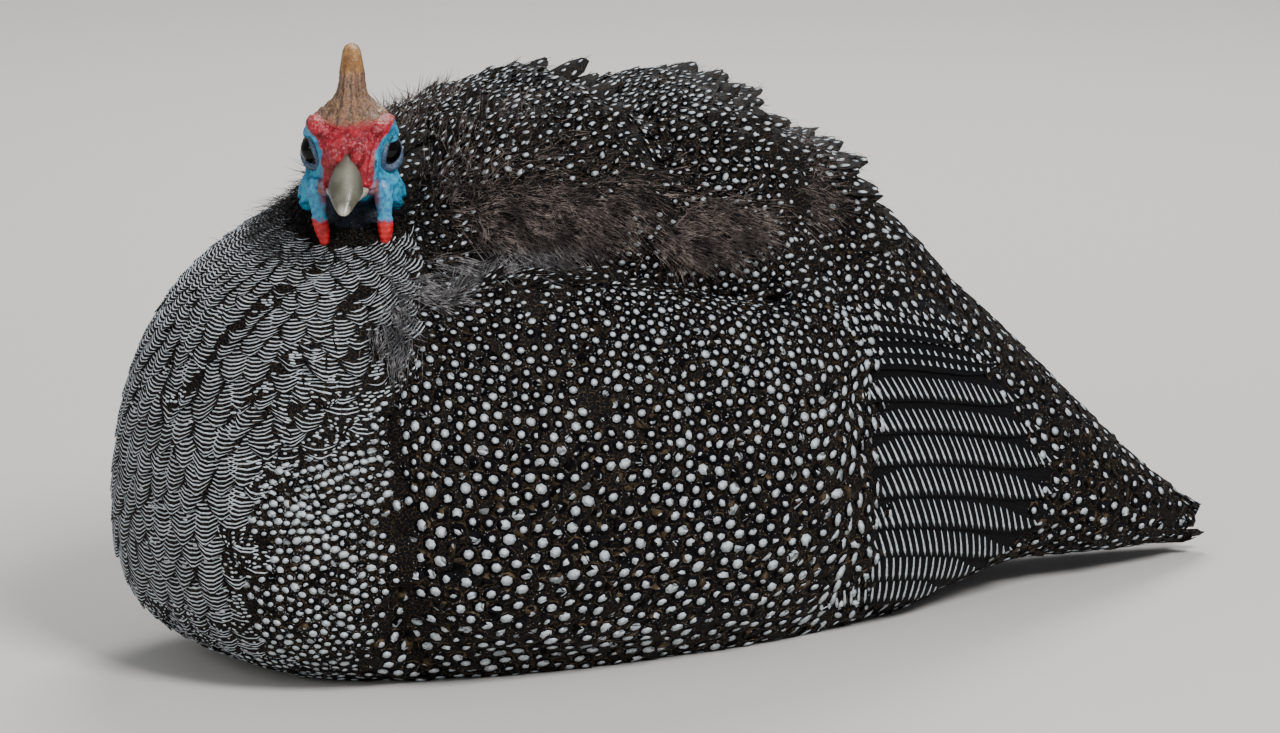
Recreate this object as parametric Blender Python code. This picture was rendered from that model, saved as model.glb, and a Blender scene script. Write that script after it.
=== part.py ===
"""A helmeted guinea fowl, life size, sitting on its belly with its back feathers ruffled.

The bird faces -Y, its left side is +X and it rests on the plane Z = 0. The origin is on the
belly's flat, under the middle of the body. The head is turned to the bird's left.
All sizes are in metres.
"""

import math
import random

import bmesh
import bpy
from mathutils import Matrix, Vector

# Driving sizes of the whole bird
GAP = 0.0003
SEED = 7

# Room left by a cut: the gap, with a little more where curved faces meet in facets
FINE_ROOM = GAP + 0.00005
FACET_ROOM = GAP + 0.0001

# How flat a place must be, and how close two corners, to be merged after a Boolean
FLAT = math.radians(1.5)
MERGE = 0.000004

# A short step along a surface, to find which way it faces
STEP = 0.0005

# The torso as stations from the breast to the rump:
# place along Y, half width, height of the back, level of the belly (below 0 it is flattened)
TORSO = [
    (-0.157, 0.027, 0.087, 0.034),
    (-0.150, 0.046, 0.111, 0.020),
    (-0.138, 0.062, 0.132, 0.010),
    (-0.118, 0.0755, 0.150, 0.002),
    (-0.090, 0.083, 0.163, -0.005),
    (-0.045, 0.086, 0.174, -0.014),
    (0.000, 0.086, 0.181, -0.018),
    (0.045, 0.083, 0.176, -0.018),
    (0.085, 0.075, 0.163, -0.014),
    (0.120, 0.064, 0.147, -0.008),
    (0.150, 0.053, 0.127, 0.001),
    (0.185, 0.042, 0.098, 0.008),
    (0.225, 0.032, 0.061, 0.007),
    (0.262, 0.018, 0.030, 0.006),
    (0.288, 0.007, 0.015, 0.006),
]
BREAST_TIP = Vector((0.0, -0.160, 0.056))
TAIL_CUT = 0.160
WIDEST = 0.344
BACK_ROUNDING = 0.85
BELLY_ROUNDING = 0.65
SIDES = 26

# The wings' cores, as stations: place along Y, upper edge, lower edge, thickness over the flank
WING = [
    (-0.104, 0.112, 0.056, 0.006),
    (-0.098, 0.132, 0.034, 0.009),
    (-0.080, 0.147, 0.018, 0.011),
    (-0.050, 0.150, 0.012, 0.012),
    (-0.010, 0.146, 0.010, 0.011),
    (0.030, 0.136, 0.010, 0.009),
    (0.065, 0.124, 0.012, 0.006),
    (0.092, 0.108, 0.022, 0.0035),
]
WING_SHOULDER_Y = -0.107
WING_CORE_END = 0.104
WING_INSIDE = 0.004
WING_POINT_OUT = 0.001
WING_EDGE_SHARE = 0.25
WING_EDGE_ROUNDING = 0.6
WING_ROWS = 8

# One vane: a thin tapered plate, as shares of its length and of its full width
VANE_THICKNESS = 0.0007
LONG_VANE = ((0.0, 0.60), (0.34, 1.00), (0.70, 0.94), (0.91, 0.62), (1.0, 0.0))
SHORT_VANE = ((0.0, 0.70), (0.52, 1.00), (0.88, 0.70), (1.0, 0.0))
VANE_CAMBER = 0.02
VANE_ROLL = math.radians(9.0)

# Where the tips of a folded wing's flight feathers lie, from the top one to the lowest:
# share of the way down, place along Y, height
WING_TIPS = [
    (0.00, 0.150, 0.101),
    (0.25, 0.180, 0.072),
    (0.50, 0.197, 0.043),
    (0.75, 0.180, 0.021),
    (1.00, 0.138, 0.011),
]

# The wing's tiers of coverts: how many, the roots' place along Y with the height of the first
# and last, the same for the tips, width, how far the tips stand off the flank
WING_TIERS = [
    (8, -0.028, 0.124, 0.026, 0.088, 0.115, 0.022, 0.0180, 0.0102),
    (7, -0.070, 0.128, 0.036, 0.034, 0.129, 0.030, 0.0195, 0.0142),
]
FLIGHT_COUNT = 10
FLIGHT_ROOT_Y = 0.024
FLIGHT_ROOT_TOP = 0.121
FLIGHT_ROOT_LOW = 0.022
FLIGHT_WIDTH = 0.0175
FLIGHT_LIFT = 0.0036
FLIGHT_BOW = 0.007
SCAPULARS = [(-0.062, 0.146, 0.050, 0.137), (0.000, 0.138, 0.122, 0.115)]
SCAPULAR_WIDTH = 0.020
SCAPULAR_LIFT = 0.0102
WING_ROOT_SINK = 0.0022

# The tail: feathers laid along the body's own surface, as angles round it from its left side.
# Rectrices: angle and the tip's place along Y. Coverts: roots' and tips' place along Y, angles,
# how far the roots are sunk and the tips lifted, width
TAIL_CORE_SINK = 0.0035
TAIL_CORE_END = 0.232
TAIL_CORE_RINGS = 7
TAIL_CORE_POINT = 0.012
RECTRIX_ROOT = 0.176
RECTRICES = [(90, 0.287), (66, 0.286), (42, 0.284), (18, 0.280), (-6, 0.272)]
RECTRIX_WIDTH = 0.0165
RECTRIX_NARROWING = 0.85
RECTRIX_ROOT_SINK = 0.003
RECTRIX_TIP_SINK = 0.0015
RECTRIX_STEP_DOWN = 0.0006
RECTRIX_ANGLE_STEP = 18
TAIL_COVERTS = [
    (0.166, 0.232, (90, 62, 34), 0.0015, 0.0040, 0.021),
    (0.163, 0.202, (76, 48, 20), 0.0015, 0.0060, 0.019),
]
TAIL_COVERT_SHORTENING = 0.012

# The ruffled back: three lobes that rise towards the tail and end in a step, as a place
# along Y and how far the back stands out there. They fade down the sides.
RUFFLE = [
    (-0.088, 0.0000), (-0.072, 0.0050), (-0.056, 0.0105), (-0.043, 0.0160), (-0.028, 0.0175),
    (-0.014, 0.0180), (-0.003, 0.0205), (0.005, 0.0160), (0.011, 0.0075), (0.018, 0.0085),
    (0.030, 0.0150), (0.043, 0.0200), (0.058, 0.0215), (0.067, 0.0160), (0.075, 0.0070),
    (0.082, 0.0095), (0.092, 0.0130), (0.101, 0.0120), (0.109, 0.0060), (0.117, 0.0035),
    (0.131, 0.0045), (0.146, 0.0025), (0.157, 0.0000),
]
RUFFLE_CENTRE = 0.075
RUFFLE_FULL = math.radians(16.0)
RUFFLE_GONE = math.radians(50.0)
RUFFLE_SKEW = 0.014

# The feathers on the lobes, rank by rank: place along Y, how many, spread to each side,
# how steeply they stand, length
BACK_RANKS = [
    (-0.066, 5, 30, 6, 0.029),
    (-0.047, 6, 34, 6, 0.029),
    (-0.030, 6, 36, 6, 0.028),
    (-0.014, 6, 36, 7, 0.026),
    (0.024, 5, 34, 6, 0.028),
    (0.038, 5, 35, 6, 0.028),
    (0.050, 5, 35, 7, 0.026),
    (0.084, 4, 33, 5, 0.026),
    (0.092, 4, 33, 6, 0.024),
]
BACK_WIDTH = 0.019
BACK_ROLL = math.radians(9.0)
BACK_SINK = 0.004
BACK_DROOP = 0.10
BACK_SIDE_SHORTENING = 0.10
BACK_SPLAY = 0.12
BACK_UNEVEN_STEEPNESS = 3.0
BACK_UNEVEN_LENGTH = 0.055
BACK_UNEVEN_LEAN = 0.03

# The neck, a short cone from the shoulders up to the head
NECK_BASE = Vector((-0.012, -0.084, 0.112))
NECK_TOP = Vector((0.015, -0.083, 0.178))
NECK_BASE_RADIUS = 0.054
NECK_TOP_RADIUS = 0.0145
NECK_CUT = 0.55
NECK_FLARE = 1.5
NECK_RINGS = 9
NECK_PHASE = 0.37

# The head: where the point midway between the eyes lies, and how it is turned
HEAD_AT = Vector((0.0214, -0.0888, 0.1848))
HEAD_YAW = math.radians(58.0)
HEAD_PITCH = math.radians(5.0)

# The head's own stations, from nape to bill: place, half width, crown, throat
HEAD = [
    (0.0215, 0.0095, 0.0065, -0.0130),
    (0.0150, 0.0145, 0.0115, -0.0190),
    (0.0050, 0.0163, 0.0132, -0.0215),
    (-0.0060, 0.0155, 0.0122, -0.0205),
    (-0.0140, 0.0128, 0.0088, -0.0180),
    (-0.0195, 0.0100, 0.0050, -0.0155),
]
NAPE = 0.0240
BILL_BASE = -0.0198
HEAD_SIDES = 20
HEAD_WIDEST = 0.60
HEAD_ROUNDING = 0.80

# The two red bulbs over the bill and the lobes of bare skin on the cheeks: place and radii
CERE_AT = Vector((0.0062, -0.0185, 0.0030))
CERE_RADII = (0.0036, 0.0040, 0.0032)
CHEEK_AT = Vector((0.0128, -0.0040, -0.0115))
CHEEK_RADII = (0.0042, 0.0085, 0.0080)

EYE_AT = Vector((0.0122, -0.0015, 0.0000))
EYE_RADIUS = 0.0052
LID_RADIUS = 0.0058
LID_THICKNESS = 0.0014
LID_TURN = math.radians(16.0)
LID_OUT = Vector((0.0036, -0.0006, 0.0))
LID_STEPS = 16
LID_SIDES = 6

EAR_AT = Vector((0.0160, 0.0095, -0.0035))
EAR_RADII = (0.0018, 0.0020, 0.0014)
MOUTH_CORNER_Y = -0.0085
MOUTH_FRONT_Y = -0.0205
MOUTH_DEPTH = 0.0013
MOUTH_OUTSIDE = 0.03
NOSTRIL_AT = Vector((0.0060, -0.0248, -0.0002))
NOSTRIL_RADII = (0.0013, 0.0019, 0.0008)

# The bill, as stations: place, half width and culmen height
BILL = [
    (-0.0201, 0.0088, 0.0040),
    (-0.0255, 0.0078, 0.0028),
    (-0.0320, 0.0060, -0.0008),
    (-0.0378, 0.0038, -0.0056),
    (-0.0410, 0.0018, -0.0100),
]
BILL_TIP = Vector((0.0, -0.0424, -0.0148))
GAPE = -0.0092
GAPE_DROOP = 0.0032
LOWER_TIP = Vector((0.0, -0.0392, -0.0136))
CHIN = -0.0156
BILL_SIDES = 10
BILL_ROUNDING = 0.8
GAPE_CURVE = 1.5
LOWER_INSET = 0.0008
LOWER_TIP_DEPTH = 0.55

# The casque: height above the eyes, half breadth across and half length fore and aft
CASQUE = [
    (0.0085, 0.0096, 0.0150),
    (0.0119, 0.0086, 0.0140),
    (0.0151, 0.0062, 0.0118),
    (0.0192, 0.0044, 0.0096),
    (0.0246, 0.0038, 0.0078),
    (0.0299, 0.0036, 0.0060),
    (0.0334, 0.0026, 0.0040),
]
CASQUE_TOP = 0.0352
CASQUE_LEAN = 0.16
CASQUE_MIDDLE = 0.0015
CASQUE_RIDGES = 7
CASQUE_RIDGE_DEPTH = 0.05

# The wattles: root below the gape corner, length, half breadth, and the stations of their
# thickness as shares of the length and of the half breadth
WATTLE_AT = Vector((0.0118, -0.0165, -0.0125))
WATTLE_LENGTH = 0.0190
WATTLE_RADIUS = 0.0027
WATTLE_SWELL = [(0.0, 0.75), (0.15, 0.87), (0.50, 1.10), (0.75, 1.00), (0.90, 0.58), (1.0, 0.34)]
WATTLE_RINGS = 9
WATTLE_FOLD = (0.94, 1.10)
WATTLE_SIDES = 10
WATTLE_FLATNESS = 0.62
WATTLE_DRIFT = Vector((0.0015, -0.0010, 0.0))

# The feet, tucked into recesses in the belly
HEEL = Vector((0.036, 0.082, 0.0046))
FOOT_JOINT = Vector((0.038, 0.006, 0.0031))
SHANK_TOP = Vector((0.034, 0.062, 0.030))
TARSUS_RADIUS = 0.0046
HEEL_RADIUS = 0.00529
HEEL_BACK = Vector((0.0, 0.005, 0.001))
FOOT_FRONT = Vector((0.0, -0.004, 0.0))
FOOT_RADIUS = 0.0037
HEEL_BACK_RADIUS = 0.0030
SHANK_RADII = (0.0042, 0.0048, 0.0056)
TOE_RADIUS = 0.0036
TOE_PLACES = (0.0, 0.35, 0.7, 0.86, 1.0)
TOE_TAPER = (1.0, 0.95, 0.85, 0.5, 0.12)
TOES = ((-17.0, 0.040), (0.0, 0.050), (17.0, 0.040))
HIND_TOE = (152.0, 0.014)
RECESS_ROOM = 0.0007
TARSUS_RECESS = 0.0120
TOE_RECESS = 0.0095
BELOW_FLOOR = -0.01


def remove_everything():
    for thing in list(bpy.data.objects):
        bpy.data.objects.remove(thing, do_unlink=True)


def plain_material(name, colour, roughness):
    material = bpy.data.materials.new(name)
    material.use_nodes = True
    shader = material.node_tree.nodes["Principled BSDF"]
    shader.inputs["Base Color"].default_value = (*colour, 1.0)
    shader.inputs["Roughness"].default_value = roughness
    material.diffuse_color = (*colour, 1.0)
    return material


def curve_through(rows, place):
    """Read a table of stations at any place, on a smooth curve through its rows."""
    rows = sorted(rows)
    if place <= rows[0][0]:
        return rows[0][1:]
    if place >= rows[-1][0]:
        return rows[-1][1:]
    at = max(i for i in range(len(rows) - 1) if rows[i][0] <= place)
    before = rows[max(at - 1, 0)]
    here = rows[at]
    there = rows[at + 1]
    after = rows[min(at + 2, len(rows) - 1)]
    span = there[0] - here[0]
    t = (place - here[0]) / span
    values = []
    for k in range(1, len(here)):
        slope_in = (there[k] - before[k]) / (there[0] - before[0]) * span
        slope_out = (after[k] - here[k]) / (after[0] - here[0]) * span
        values.append(
            (2 * t**3 - 3 * t**2 + 1) * here[k]
            + (t**3 - 2 * t**2 + t) * slope_in
            + (3 * t**2 - 2 * t**3) * there[k]
            + (t**3 - t**2) * slope_out
        )
    return tuple(values)


def new_object(name, points, faces, material):
    mesh = bpy.data.meshes.new(name)
    mesh.from_pydata([tuple(p) for p in points], [], faces)
    mesh.materials.append(material)
    thing = bpy.data.objects.new(name, mesh)
    bpy.context.scene.collection.objects.link(thing)
    return thing


def face_outwards(thing):
    """Split every face into triangles and turn them all to point out."""
    work = bmesh.new()
    work.from_mesh(thing.data)
    bmesh.ops.triangulate(work, faces=work.faces)
    bmesh.ops.recalc_face_normals(work, faces=work.faces)
    if work.calc_volume(signed=True) < 0:
        bmesh.ops.reverse_faces(work, faces=work.faces)
    work.to_mesh(thing.data)
    work.free()


def loft(name, rings, material, start=None, end=None):
    """A closed solid over rings of points, with a pole or a flat cap at each end."""
    around = len(rings[0])
    points = [p for ring in rings for p in ring]
    faces = []
    for r in range(len(rings) - 1):
        for k in range(around):
            here = r * around + k
            beside = r * around + (k + 1) % around
            faces.append((here, beside, beside + around, here + around))
    last = (len(rings) - 1) * around
    for pole, base in ((start, 0), (end, last)):
        if pole is None:
            faces.append(tuple(range(base, base + around)))
            continue
        points.append(pole)
        for k in range(around):
            faces.append((base + k, base + (k + 1) % around, len(points) - 1))
    thing = new_object(name, points, faces, material)
    face_outwards(thing)
    return thing


def ball(name, centre, radii, material, segments=16, rings=10):
    work = bmesh.new()
    bmesh.ops.create_uvsphere(work, u_segments=segments, v_segments=rings, radius=1.0)
    for vert in work.verts:
        vert.co = Vector(centre) + Vector(
            (vert.co.x * radii[0], vert.co.y * radii[1], vert.co.z * radii[2])
        )
    mesh = bpy.data.meshes.new(name)
    work.to_mesh(mesh)
    work.free()
    mesh.materials.append(material)
    thing = bpy.data.objects.new(name, mesh)
    bpy.context.scene.collection.objects.link(thing)
    face_outwards(thing)
    return thing


def tube(name, centres, radii, material, sides=8, floor=None):
    """A round tube through a few centres, ending in points or small flats."""
    rings = []
    for i, (centre, radius) in enumerate(zip(centres, radii)):
        ahead = centres[min(i + 1, len(centres) - 1)]
        behind = centres[max(i - 1, 0)]
        along = (ahead - behind).normalized()
        side = along.cross(Vector((0, 0, 1)))
        if side.length < 0.01:
            side = along.cross(Vector((1, 0, 0)))
        side.normalize()
        up = side.cross(along)
        ring = []
        for k in range(sides):
            a = 2 * math.pi * (k + 0.5) / sides
            point = centre + radius * (math.cos(a) * side + math.sin(a) * up)
            if floor is not None:
                point.z = max(point.z, floor)
            ring.append(point)
        rings.append(ring)
    return loft(name, rings, material)


def evaluated(thing):
    """Put a mesh with all its modifiers applied in the object's place."""
    graph = bpy.context.evaluated_depsgraph_get()
    mesh = bpy.data.meshes.new_from_object(thing.evaluated_get(graph))
    old = thing.data
    thing.modifiers.clear()
    thing.data = mesh
    bpy.data.meshes.remove(old)


def merged(mesh, flat, near):
    """A mesh with the splits that a Boolean leaves in its flat places merged again."""
    work = bmesh.new()
    work.from_mesh(mesh)
    bmesh.ops.remove_doubles(work, verts=work.verts, dist=near)
    if flat > 0:
        bmesh.ops.dissolve_limit(work, angle_limit=flat, verts=work.verts, edges=work.edges)
    bmesh.ops.triangulate(work, faces=work.faces)
    bmesh.ops.dissolve_degenerate(work, edges=work.edges, dist=near)
    bmesh.ops.triangulate(work, faces=work.faces)
    return work


def largest_surface(thing):
    """Merge what a Boolean splits needlessly, and keep only the largest closed surface."""
    for flat, near in ((FLAT, MERGE), (FLAT / 3, MERGE / 4), (0.0, MERGE), (0.0, MERGE / 10)):
        work = merged(thing.data, flat, near)
        if all(len(edge.link_faces) == 2 for edge in work.edges):
            break
    unseen = set(work.verts)
    groups = []
    while unseen:
        front = [unseen.pop()]
        group = set(front)
        while front:
            vert = front.pop()
            for edge in vert.link_edges:
                other = edge.other_vert(vert)
                if other in unseen:
                    unseen.remove(other)
                    group.add(other)
                    front.append(other)
        groups.append(group)
    groups.sort(key=len, reverse=True)
    for group in groups[1:]:
        bmesh.ops.delete(work, geom=list(group), context="VERTS")
    work.to_mesh(thing.data)
    work.free()


def join_to(thing, pieces):
    """Fuse the pieces with the node that they grow from, into one closed body."""
    gathered = bpy.data.collections.new("pieces")
    bpy.context.scene.collection.children.link(gathered)
    for piece in pieces:
        bpy.context.scene.collection.objects.unlink(piece)
        gathered.objects.link(piece)
    union = thing.modifiers.new("union", "BOOLEAN")
    union.operation = "UNION"
    union.operand_type = "COLLECTION"
    union.collection = gathered
    union.solver = "EXACT"
    evaluated(thing)
    for piece in pieces:
        bpy.data.objects.remove(piece, do_unlink=True)
    bpy.data.collections.remove(gathered)
    largest_surface(thing)


def cut_away(thing, cutter, keep_cutter=False, crosses_itself=False):
    """Take a cutter's shape out of a node."""
    cutter.hide_render = True
    cutter.display_type = "WIRE"
    difference = thing.modifiers.new("cut", "BOOLEAN")
    difference.operation = "DIFFERENCE"
    difference.object = cutter
    difference.solver = "EXACT"
    difference.use_self = crosses_itself
    evaluated(thing)
    largest_surface(thing)
    if not keep_cutter:
        bpy.data.objects.remove(cutter, do_unlink=True)


def grown_copy(thing, by):
    """A copy of a solid with its skin moved outwards, used to cut clear of it."""
    copy = bpy.data.objects.new(thing.name + "_room", thing.data.copy())
    bpy.context.scene.collection.objects.link(copy)
    work = bmesh.new()
    work.from_mesh(copy.data)
    work.normal_update()
    moves = [(vert, vert.normal.copy()) for vert in work.verts]
    for vert, normal in moves:
        vert.co += normal * by
    work.to_mesh(copy.data)
    work.free()
    return copy


def sliced(thing, point, normal):
    """Keep what lies behind a plane, and close the cut with a flat face."""
    work = bmesh.new()
    work.from_mesh(thing.data)
    whole = list(work.verts) + list(work.edges) + list(work.faces)
    made = bmesh.ops.bisect_plane(
        work, geom=whole, plane_co=point, plane_no=normal, clear_outer=True
    )
    rim = [item for item in made["geom_cut"] if isinstance(item, bmesh.types.BMEdge)]
    bmesh.ops.contextual_create(work, geom=rim)
    bmesh.ops.triangulate(work, faces=work.faces)
    work.to_mesh(thing.data)
    work.free()
    largest_surface(thing)
    face_outwards(thing)


def copy_of(thing, name):
    copy = bpy.data.objects.new(name, thing.data.copy())
    bpy.context.scene.collection.objects.link(copy)
    return copy


def mirrored(thing, name):
    """The same piece for the bird's other side."""
    copy = copy_of(thing, name)
    copy.data.transform(Matrix.Scale(-1, 4, (1, 0, 0)))
    face_outwards(copy)
    return copy


def place_on_head(thing):
    """Turn and lift a piece from the head's own frame to its place on the bird."""
    turn = Matrix.Rotation(HEAD_YAW, 4, "Z") @ Matrix.Rotation(HEAD_PITCH, 4, "X")
    thing.data.transform(Matrix.Translation(HEAD_AT) @ turn)


def smooth(thing):
    thing.data.shade_smooth()
    thing.data.set_sharp_from_angle(angle=math.radians(40.0))


def rounded(across, power):
    """The cosine of an angle, flattened or sharpened by a power, with its sign kept."""
    return math.copysign(abs(across) ** power, across)


def widest_level(top, low):
    """The height at which a section of the body is widest."""
    floor = max(low, 0.0)
    return floor + WIDEST * (top - floor)


def body_point(y, a):
    """A point of the body's surface, at an angle round it from the left side."""
    half, top, low = curve_through(TORSO, y)
    middle = widest_level(top, low)
    rise = math.sin(a)
    if rise >= 0:
        x = half * rounded(math.cos(a), BACK_ROUNDING)
        z = middle + (top - middle) * rise
    else:
        x = half * rounded(math.cos(a), BELLY_ROUNDING)
        z = middle + (middle - low) * rise
    return Vector((x, y, max(z, 0.0)))


def body_section(y):
    """One ring of the body: an egg in section, flattened where the belly meets the floor."""
    return [body_point(y, 2 * math.pi * k / SIDES) for k in range(SIDES)]


def body_half_width(y, z):
    """How far the body's side stands from the middle plane at a height."""
    half, top, low = curve_through(TORSO, y)
    middle = widest_level(top, low)
    if z >= middle:
        rise = min((z - middle) / (top - middle), 1.0)
        return half * math.sqrt(1 - rise**2) ** BACK_ROUNDING
    rise = min((middle - z) / (middle - low), 1.0)
    return half * math.sqrt(1 - rise**2) ** BELLY_ROUNDING


def vane(shape, centres, normals, width, roll, material):
    """A feather's vane as a thin cambered plate along its centres, tapering to a point."""
    points = []
    for i in range(len(centres) - 1):
        ahead = centres[i + 1]
        behind = centres[max(i - 1, 0)]
        along = (ahead - behind).normalized()
        turn = Matrix.Rotation(roll, 3, along)
        side = turn @ along.cross(normals[i]).normalized()
        up = side.cross(along)
        reach = side * width * shape[i][1] / 2
        rise = up * VANE_CAMBER * width
        half = up * VANE_THICKNESS / 2
        middle = centres[i]
        points += [
            middle - reach + half,
            middle + rise + half,
            middle + reach + half,
            middle + reach - half,
            middle + rise - half,
            middle - reach - half,
        ]
    points.append(centres[-1])
    tip = len(points) - 1
    faces = []
    for i in range(len(centres) - 2):
        b = 6 * i
        f = b + 6
        for left, right in ((0, 1), (5, 4)):
            faces += [(b + left, b + right, f + right), (b + left, f + right, f + left)]
        for left, right in ((1, 2), (4, 3)):
            faces += [(b + left, b + right, f + left), (b + right, f + right, f + left)]
        for low, high in ((5, 0), (2, 3)):
            faces += [(b + low, b + high, f + high), (b + low, f + high, f + low)]
    last = tip - 6
    for k in range(6):
        faces.append((last + k, last + (k + 1) % 6, tip))
    faces += [(0, 1, 4), (0, 4, 5), (1, 2, 3), (1, 3, 4)]
    thing = new_object("vane", points, faces, material)
    face_outwards(thing)
    return thing


def laid_vane(surface, start, finish, width, lifts, roll, material, shape=SHORT_VANE, bow=0.0):
    """A vane laid along a surface, from one place on it to another."""
    centres = []
    normals = []
    for t, _ in shape:
        u = start[0] + (finish[0] - start[0]) * t
        v = start[1] + (finish[1] - start[1]) * t + bow * math.sin(math.pi * t)
        here = surface(u, v)
        normal = (surface(u + STEP, v) - here).cross(surface(u, v + STEP) - here)
        normal.normalize()
        centres.append(here + normal * (lifts[0] + (lifts[1] - lifts[0]) * t))
        normals.append(normal)
    return vane(shape, centres, normals, width, roll, material)


def faded(share):
    """A smooth step from 0 to 1."""
    share = min(max(share, 0.0), 1.0)
    return share * share * (3 - 2 * share)


def back_point(y, a):
    """A point of the body's surface with its ruffled lobes."""
    here = body_point(y, a)
    off_top = abs(math.atan2(here.x, here.z - RUFFLE_CENTRE))
    skewed = y - RUFFLE_SKEW * (off_top / RUFFLE_GONE) ** 2
    (height,) = curve_through(RUFFLE, min(max(skewed, RUFFLE[0][0]), RUFFLE[-1][0]))
    height *= 1 - faded((off_top - RUFFLE_FULL) / (RUFFLE_GONE - RUFFLE_FULL))
    if height <= 0:
        return here
    along = body_point(y + STEP, a) - here
    normal = (body_point(y, a + STEP) - here).cross(along).normalized()
    if normal.z < 0:
        normal.negate()
    return here + normal * height


def raised_vane(y, a, steep, length, width, lean, roll, material):
    """A back feather standing off the body, with its tip curving back down."""
    here = back_point(y, a)
    back = (back_point(y + STEP, a) - here).normalized()
    round_it = (back_point(y, a + STEP) - here).normalized()
    normal = round_it.cross(back)
    if normal.z < 0:
        normal.negate()
    along = (math.cos(steep) * back + math.sin(steep) * normal + lean * round_it).normalized()
    flat = (math.cos(steep) * normal - math.sin(steep) * back).normalized()
    root = here - normal * BACK_SINK
    centres = []
    for t, _ in SHORT_VANE:
        centres.append(root + along * length * t - flat * BACK_DROOP * length * t * t)
    return vane(SHORT_VANE, centres, [flat] * len(centres), width, roll, material)


def uneven(by):
    return random.uniform(-by, by)


def make_back_feathers(material):
    vanes = []
    for rank, (y, count, spread, steep, length) in enumerate(BACK_RANKS):
        for k in range(count):
            share = 2 * (k + 0.5) / count - 1
            a = math.radians(90 + spread * share)
            rise = math.radians(steep + uneven(BACK_UNEVEN_STEEPNESS))
            shortening = 1 - BACK_SIDE_SHORTENING * abs(share)
            reach = length * (1 + uneven(BACK_UNEVEN_LENGTH)) * shortening
            lean = BACK_SPLAY * share + uneven(BACK_UNEVEN_LEAN)
            roll = BACK_ROLL if rank % 2 else -BACK_ROLL
            vanes.append(raised_vane(y, a, rise, reach, BACK_WIDTH, lean, roll, material))
    return vanes


def make_body(feathers):
    """The torso's core from breast to rump, ended by a flat cut where the tail meets it."""
    breast = [row[0] for row in TORSO if row[0] < RUFFLE[0][0] - STEP]
    places = []
    for here, there in zip(breast, breast[1:]):
        places += [here, (here + there) / 2]
    places.append(breast[-1])
    places += [row[0] for row in RUFFLE] + [TAIL_CUT - GAP / 2]
    angles = [2 * math.pi * k / SIDES for k in range(SIDES)]
    rings = [[back_point(y, a) for a in angles] for y in places]
    return loft("torso", rings, feathers, start=BREAST_TIP)


def sides_of(angle):
    """A feather on the middle line is single and lies flat; any other has a mirrored twin."""
    return (0,) if angle == 90 else (1, -1)


def make_tail(feathers):
    """The rump's end as a core, with the tail feathers and two tiers of coverts on it."""
    rings = []
    for k in range(TAIL_CORE_RINGS):
        t = k / (TAIL_CORE_RINGS - 1)
        y = TAIL_CUT + GAP / 2 + (TAIL_CORE_END - TAIL_CUT) * t
        ring = body_section(y)
        centre = sum(ring, Vector()) / SIDES
        sink = TAIL_CORE_SINK * min(4 * t, 1.0)
        rings.append([p + (centre - p).normalized() * sink for p in ring])
    end = sum(rings[-1], Vector()) / SIDES + Vector((0, TAIL_CORE_POINT, 0))
    tail = loft("tail", rings, feathers, end=end)
    vanes = []
    for angle, tip in RECTRICES:
        for side in sides_of(angle):
            off_middle = side * (90 - angle)
            root = (RECTRIX_ROOT, math.radians(90 - off_middle))
            finish = (tip, math.radians(90 - off_middle * RECTRIX_NARROWING))
            sink = RECTRIX_TIP_SINK + RECTRIX_STEP_DOWN * (90 - angle) / RECTRIX_ANGLE_STEP
            lifts = (-RECTRIX_ROOT_SINK, -sink)
            roll = side * VANE_ROLL
            vanes.append(
                laid_vane(body_point, root, finish, RECTRIX_WIDTH, lifts, roll, feathers, LONG_VANE)
            )
    for start, finish, angles, low, high, width in TAIL_COVERTS:
        for angle in angles:
            for side in sides_of(angle):
                a = math.radians(90 - side * (90 - angle))
                tip = finish - TAIL_COVERT_SHORTENING * (90 - angle) / 90
                lifts = (-low, high)
                roll = side * VANE_ROLL
                vanes.append(
                    laid_vane(body_point, (start, a), (tip, a), width, lifts, roll, feathers)
                )
    join_to(tail, vanes)
    return tail


def make_neck(skin):
    """The whole neck cone, later parted from the shoulders and the head."""
    rings = []
    along = (NECK_TOP - NECK_BASE).normalized()
    side = along.cross(Vector((0, 1, 0))).normalized()
    front = side.cross(along)
    for k in range(NECK_RINGS):
        t = k / (NECK_RINGS - 1)
        radius = NECK_TOP_RADIUS + (NECK_BASE_RADIUS - NECK_TOP_RADIUS) * (1 - t) ** NECK_FLARE
        centre = NECK_BASE.lerp(NECK_TOP, t)
        ring = []
        for s in range(SIDES):
            a = 2 * math.pi * (s + NECK_PHASE) / SIDES
            ring.append(centre + radius * (math.cos(a) * side + math.sin(a) * front))
        rings.append(ring)
    return loft("neck", rings, skin), along


def wing_point(y, z):
    return Vector((body_half_width(y, z), y, z))


def wing_thickness(y, z):
    """How far the wing's core stands off the flank."""
    if y > WING[-1][0]:
        return 0.0
    top, low, thick = curve_through(WING, y)
    t = min(max((z - low) / (top - low), 0.0), 1.0)
    bulge = math.sin(math.pi * t) ** WING_EDGE_ROUNDING
    return thick * (WING_EDGE_SHARE + (1 - WING_EDGE_SHARE) * bulge)


def wing_vane(root, tip, width, tip_lift, feathers, shape=SHORT_VANE, bow=0.0):
    """A wing feather with its root sunk in the core and its tip lifted clear of the flank."""
    lifts = (wing_thickness(*root) - WING_ROOT_SINK, tip_lift)
    return laid_vane(wing_point, root, tip, width, lifts, VANE_ROLL, feathers, shape, bow)


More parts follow.
